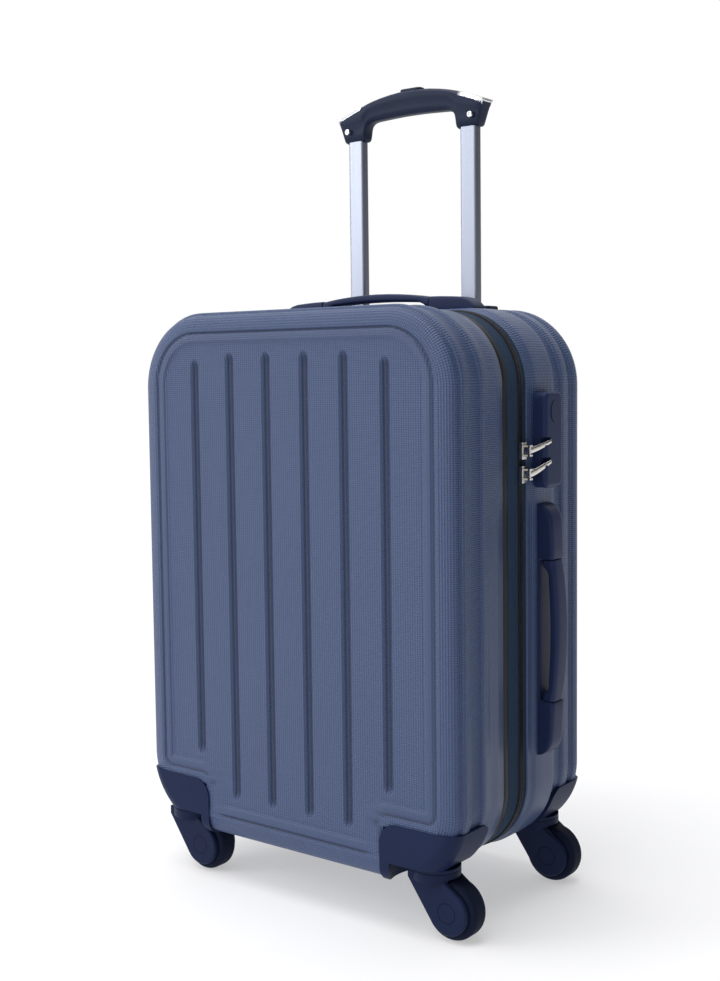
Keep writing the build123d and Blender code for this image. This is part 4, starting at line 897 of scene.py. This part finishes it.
class SUITCASE_OT_grip(bpy.types.Operator):
    """Make the trolley's grip with its plated trims and rivets"""
    bl_idname = "suitcase.grip"
    bl_label = "Trolley grip"

    def execute(self, context):
        low, high = box_of("grip_body")
        foot, crown, reach = low[2], high[2], high[0] - 0.3
        place = ((0, (low[1] + high[1]) / 2, 0), (1, 0, 0), (0, 0, 1), (0, 1, 0))
        arch = 19.0

        def top(x):
            """The grip's top line, a parabola."""
            return crown - 0.2 - arch * (np.asarray(x, float) / reach) ** 2

        # the underside as (along, height): the hand's hollow, then the end that takes the tube
        lower = np.array([(0, 745.4), (12, 745.3), (24, 744.9), (36, 744.3), (44, 743.9), (49, 742.8),
                          (52.4, 740.6), (54.6, 737.4), (55.6, 733.5), (56.0, 729.5), (56.3, foot + 0.6),
                          (57.2, foot), (63, foot), (69, foot), (75, foot), (80.6, foot),
                          (81.6, foot + 0.6), (83.0, 730.5), (84.8, 737.0), (86.6, 743.0),
                          (88.0, 747.6), (88.7, 749.4)])
        upper = np.array([0, 12, 24, 36, 43.5, 47.5, 50.5, 53, 55, 57, 58.6, 60, 64, 69, 74, 78.5, 80.5, 83,
                          85.2, 87.0, 88.2, 88.7])
        stations = mirrored(np.stack([upper, top(upper), lower[:, 0], lower[:, 1]], 1))
        points = bar_points(stations, (10.2, 7.6), 3.4, 48, 1.3)
        bar_piece("grip", points, place, "trolley_grip", finish_of("dark"), ("grip_body",))
        self.trims(stations, place)
        self.rivets()
        return {"FINISHED"}

    def trims(self, stations, place):
        """A thin plate over the top of each end: the grip's own surface moved out by 0.35 mm."""
        points = bar_points(stations, (10.55, 7.9), 3.4, 96)
        rows, columns = points.shape[:2]
        middle = (stations[:, 1] + stations[:, 3]) / 2
        grown = points.copy()
        grown[..., 1] += np.where(points[..., 1] > middle[:, None], 0.35, 0)
        end = np.abs(stations[:, 0])[:, None]
        grown[..., 0] += np.sign(points[..., 0]) * 0.3 * (end > 86)
        origin, along, height, across = (np.asarray(v, float) for v in place)
        flat = origin + grown.reshape(-1, 3) @ np.stack([along, height, across])
        cells = wrap_faces(rows, columns, close_columns=True)
        centre = np.stack([stations[:, 0], np.full(rows, origin[1]), middle], 1)
        spot = grown.reshape(-1, 3)[cells].mean(1)
        edge = stations[0, 1] + (stations[len(stations) // 2, 1] - stations[0, 1]) * (
            1 - (np.abs(spot[:, 0]) / np.abs(stations[0, 0])) ** 2)
        keep = (np.abs(spot[:, 0]) > 60.5) & (spot[:, 1] > edge - 4.6)
        outward = flat[cells].mean(1) - centre[cells[:, 0] // columns]
        plate = make_piece("grip_plates", flat, cells[keep], "trolley_grip",
                           finish_of("silver"), ("grip_trims",), None, outward[keep])
        thicken(plate, "sheet", 0.9)

    def rivets(self):
        """Each head is turned: a raised ring round a dished centre."""
        low, high = box_of("grip_rivets")
        height, around = (low[2] + high[2]) / 2, 40
        radius = np.array([0.02, 0.7, 1.2, 1.5, 1.8, 2.3, 2.7, 2.95, 3.0])
        rise = np.array([0.05, 0.05, 0.1, 0.45, 0.68, 0.66, 0.5, 0.2, -0.4])
        turn = 2 * math.pi * np.arange(around) / around
        parts, cells, outs = [], [], []
        for x in (low[0] + 3.0, high[0] - 3.0):
            for y, way in ((low[1] + 0.7, -1), (high[1] - 0.7, 1)):
                face = np.broadcast_to(y + way * rise[:, None], (len(rise), around))
                ring = np.stack([x + radius[:, None] * np.cos(turn), face,
                                 height + radius[:, None] * np.sin(turn)], 2).reshape(-1, 3)
                quads = wrap_faces(len(rise), around, close_columns=True)
                outs.append(ring[quads].mean(1) - np.array([x, y - way * 6, height]))
                cells.append(quads + len(ring) * len(parts))
                parts.append(ring)
        make_piece("rivet_heads", np.concatenate(parts), np.concatenate(cells), "trolley_grip",
                   finish_of("silver"), ("grip_rivets",), None, np.concatenate(outs))


class SUITCASE_OT_handles(bpy.types.Operator):
    """Make the two carry handles and the zip's pulls"""
    bl_idname = "suitcase.handles"
    bl_label = "Carry handles and pulls"

    def execute(self, context):
        for kind, rise, crest, bar in (("side", 16.0, 21.0, 9.5), ("top", 13.0, 17.8, 8.0)):
            low, high = box_of(f"{kind}_handle_seat")
            middle = (low + high) / 2
            if kind == "side":
                place = ((SIDE_X, middle[1], middle[2]), (0, 0, 1), (1, 0, 0), (0, 1, 0))
            else:
                place = ((middle[0], middle[1], CASE_TOP), (1, 0, 0), (0, 0, 1), (0, 1, 0))
            # the seat's top as (along, height): the dip below the bar, then the raised end
            crown = np.array([(0, 2), (40, 2), (63.6, 2), (64.9, 2.2), (65.2, rise - 1.4),
                              (65.6, rise - 0.4), (66.6, rise), (76, rise - 0.2), (88, rise - 0.8),
                              (99, rise - 1.6), (105, rise - 3.0), (109.5, rise - 5.4), (112.6, rise - 8.6),
                              (114.4, max(rise - 12.0, 2.2)), (115, 0.9)])
            run, high_line = crown.T
            stations = mirrored(np.stack([run, high_line, run, np.full(len(run), -1.6)], 1))
            points = bar_points(stations, (10.9, 10.9), 7.0)
            bar_piece(f"{kind}_seat", points, place, "rear_case", finish_of("handle"),
                      (f"{kind}_handle_seat",))
            rest = box_of(f"{kind}_handle_grip")[0][0 if kind == "side" else 2] - (
                SIDE_X if kind == "side" else CASE_TOP)
            under = crest - bar
            along = np.array([0, 13, 26, 39, 48, 52, 55, 57.5, 59.2, 60.4, 62, 63.6, 64.4])
            below = np.array([under, under - 0.1, under - 0.5, under - 1.1, under - 1.6, under - 2.0,
                              under - 3.4, rest + 2.4, rest + 0.9, rest + 0.3, rest + 0.1, rest + 0.2,
                              rest + 0.8])
            above = crest - 0.1 - (crest - rise + 0.3) * (along / 64.5) ** 2
            stations = mirrored(np.stack([along, above, along, below], 1))
            points = bar_points(stations, (10.4, 10.4), 4.2)
            bar_piece(f"{kind}_bar", points, place, f"{kind}_handle", finish_of("handle"),
                      (f"{kind}_handle_grip",))
        for kind, rise, z in (("upper", 8.0, 418.0), ("lower", 11.0, 397.0)):
            length = 22
            s = np.linspace(0, length, length + 1)
            lower = -2.4 + (rise + 0.8) * (s / length) ** 1.35
            upper = 2.5 + (rise - 1.0) * (s / length) ** 0.95
            points = bar_points(np.stack([s, upper, s, lower], 1), (0.72, 0.72), 3.0, 24)
            place = ((189, 3, z), (0.4695, 0.8829, 0), (0, 0, 1), (0.8829, -0.4695, 0))
            bar_piece(f"pull_{kind}_plate", points, place, f"pull_{kind}", finish_of("nickel"),
                      (f"zip_pull_{kind}",))
        return {"FINISHED"}


def paint(nodes, key):
    """Gives CAD nodes one finish."""
    for name in nodes:
        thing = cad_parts[name]
        thing.data.materials.clear()
        thing.data.materials.append(finish_of(key))


class SUITCASE_OT_finishes(bpy.types.Operator):
    """Give each remaining CAD piece its material"""
    bl_idname = "suitcase.finishes"
    bl_label = "Finishes"

    def execute(self, context):
        corners = ("front_left", "front_right", "rear_left", "rear_right")
        groups = {
            "housing": [f"housing_{c}" for c in corners],
            "fork": [f"fork_{c}" for c in corners],
            "handle": ["lock_body", "lock_button"],
            "dark": ["grip_button", "trolley_bezel", "middle_tube_caps", "trolley_foot",
                     "side_feet_front", "side_feet_rear", "strap_buckle"],
            "core": [f"wheel_core_{c}" for c in corners],
            "tyre": [f"tyre_{c}" for c in corners],
            "tape": ["front_zip_tape", "rear_zip_tape", "hinge_strip"],
            "aluminium": ["trolley_inner_tubes", "trolley_middle_tubes", "trolley_outer_tubes"],
            "steel": ["swivel_pins_front", "swivel_pins_rear", "trolley_foot_screws",
                      "release_frame"] + [f"axle_{c}" for c in corners],
            "nickel": ["zip_sliders"],
        }
        for key, nodes in groups.items():
            paint(nodes, key)
        return {"FINISHED"}


class SUITCASE_OT_stage(bpy.types.Operator):
    """Make the floor, the lights and the camera"""
    bl_idname = "suitcase.stage"
    bl_label = "Stage"

    def execute(self, context):
        scene = context.scene
        floor = bpy.data.meshes.new("floor")
        size = 9.0
        floor.from_pydata([(-size, -size, 0), (size, -size, 0), (size, size, 0), (-size, size, 0)],
                          [], [(0, 1, 2, 3)])
        ground = bpy.data.objects.new("floor", floor)
        scene.collection.objects.link(ground)
        paper = Finish("pale_paper", Roughness=0.85, Specular_IOR_Level=0.1)
        paper.shader.inputs["Base Color"].default_value = (0.93, 0.93, 0.95, 1)
        # the sweep of paper turns into the white of the room away from the case
        _, (x, y, _) = paper.place()
        far = (x * x + y * y).power(0.5).between(0.55, 1.5) * 0.6 + 0.4
        glow = paper.add("ShaderNodeEmission", {}, {"Strength": 1.05})
        mixed = paper.add("ShaderNodeMixShader", {}, {0: far, 2: glow})
        links = paper.material.node_tree.links
        links.new(paper.shader.outputs[0], mixed.socket.node.inputs[1])
        links.new(mixed.socket, paper.nodes["Material Output"].inputs["Surface"])
        floor.materials.append(paper.material)
        world = bpy.data.worlds.new("studio")
        world.use_nodes = True
        scene.world = world
        # a white room that is dim beyond the lock side, so that side falls off as in a side-lit studio
        nodes, links = world.node_tree.nodes, world.node_tree.links
        way, split, fall = (nodes.new(kind) for kind in (
            "ShaderNodeTexCoord", "ShaderNodeSeparateXYZ", "ShaderNodeMapRange"))
        for key, value in (("From Min", 0.0), ("From Max", 0.5), ("To Min", 1.0), ("To Max", 0.13)):
            fall.inputs[key].default_value = value
        links.new(way.outputs["Generated"], split.inputs["Vector"])
        links.new(split.outputs["X"], fall.inputs["Value"])
        seen, most = nodes.new("ShaderNodeLightPath"), nodes.new("ShaderNodeMath")
        most.operation = "MAXIMUM"
        links.new(fall.outputs["Result"], most.inputs[0])
        links.new(seen.outputs["Is Camera Ray"], most.inputs[1])
        links.new(most.outputs[0], nodes["Background"].inputs["Strength"])
        nodes["Background"].inputs["Color"].default_value = (1.0, 1.0, 1.0, 1)
        for name, place, target, energy, width, height in (
                ("soft_left", (-2.2, -2.2, 1.6), (0, 0, 0.35), 30, 1.3, 1.9),
                ("soft_top", (-0.2, -0.4, 3.1), (0, 0, 0.3), 55, 2.2, 2.2)):
            lamp = bpy.data.lights.new(name, "AREA")
            lamp.energy = energy
            lamp.shape = "RECTANGLE"
            lamp.size, lamp.size_y = width, height
            holder = bpy.data.objects.new(name, lamp)
            holder.location = place
            holder.rotation_euler = (Vector(target) - Vector(place)).to_track_quat("-Z", "Y").to_euler()
            scene.collection.objects.link(holder)
        camera = bpy.data.cameras.new("camera")
        camera.lens = 49.48
        camera.sensor_width = 36.0
        camera.shift_x = -0.0099
        camera.shift_y = -0.0151
        camera.dof.use_dof = False
        azimuth, tilt, roll = math.radians(37.341), math.radians(4.380), math.radians(-0.637)
        ahead = Vector((-math.sin(azimuth) * math.cos(tilt), math.cos(azimuth) * math.cos(tilt),
                        -math.sin(tilt)))
        right = ahead.cross(Vector((0, 0, 1))).normalized()
        up = right.cross(ahead)
        right, up = (right * math.cos(roll) + up * math.sin(roll),
                     up * math.cos(roll) - right * math.sin(roll))
        turn = Matrix((right, up, -ahead)).transposed().to_4x4()
        holder = bpy.data.objects.new("camera", camera)
        holder.matrix_world = Matrix.Translation((0.7979, -1.0294, 0.4887)) @ turn
        scene.collection.objects.link(holder)
        scene.camera = holder
        scene.view_settings.view_transform = "Standard"
        return {"FINISHED"}


class SUITCASE_PT_panel(bpy.types.Panel):
    """The suitcase's operators, sizes and colours"""
    bl_label = "Suitcase"
    bl_idname = "SUITCASE_PT_panel"
    bl_space_type = "VIEW_3D"
    bl_region_type = "UI"
    bl_category = "Suitcase"

    def draw(self, context):
        for group in (context.scene.suitcase_sizes, context.scene.suitcase_colours):
            for key in group.__annotations__:
                self.layout.prop(group, key)
        for operator in OPERATORS:
            self.layout.operator(operator.bl_idname)


OPERATORS = (SUITCASE_OT_shells, SUITCASE_OT_closure, SUITCASE_OT_lining, SUITCASE_OT_grip,
             SUITCASE_OT_handles, SUITCASE_OT_finishes, SUITCASE_OT_stage)
CLASSES = (SuitcaseSizes, SuitcaseColours) + OPERATORS + (SUITCASE_PT_panel,)


def register():
    """Registers the classes and hangs the sizes and colours on the scene."""
    for cls in CLASSES:
        bpy.utils.register_class(cls)
    bpy.types.Scene.suitcase_sizes = bpy.props.PointerProperty(type=SuitcaseSizes)
    bpy.types.Scene.suitcase_colours = bpy.props.PointerProperty(type=SuitcaseColours)


def unregister():
    """Takes back what register added."""
    del bpy.types.Scene.suitcase_colours
    del bpy.types.Scene.suitcase_sizes
    for cls in reversed(CLASSES):
        bpy.utils.unregister_class(cls)


def main():
    """Builds the suitcase and its stage."""
    register()
    bpy.ops.suitcase.shells()
    bpy.ops.suitcase.closure()
    bpy.ops.suitcase.lining()
    bpy.ops.suitcase.grip()
    bpy.ops.suitcase.handles()
    bpy.ops.suitcase.finishes()
    bpy.ops.suitcase.stage()


if __name__ == "__main__":
    main()
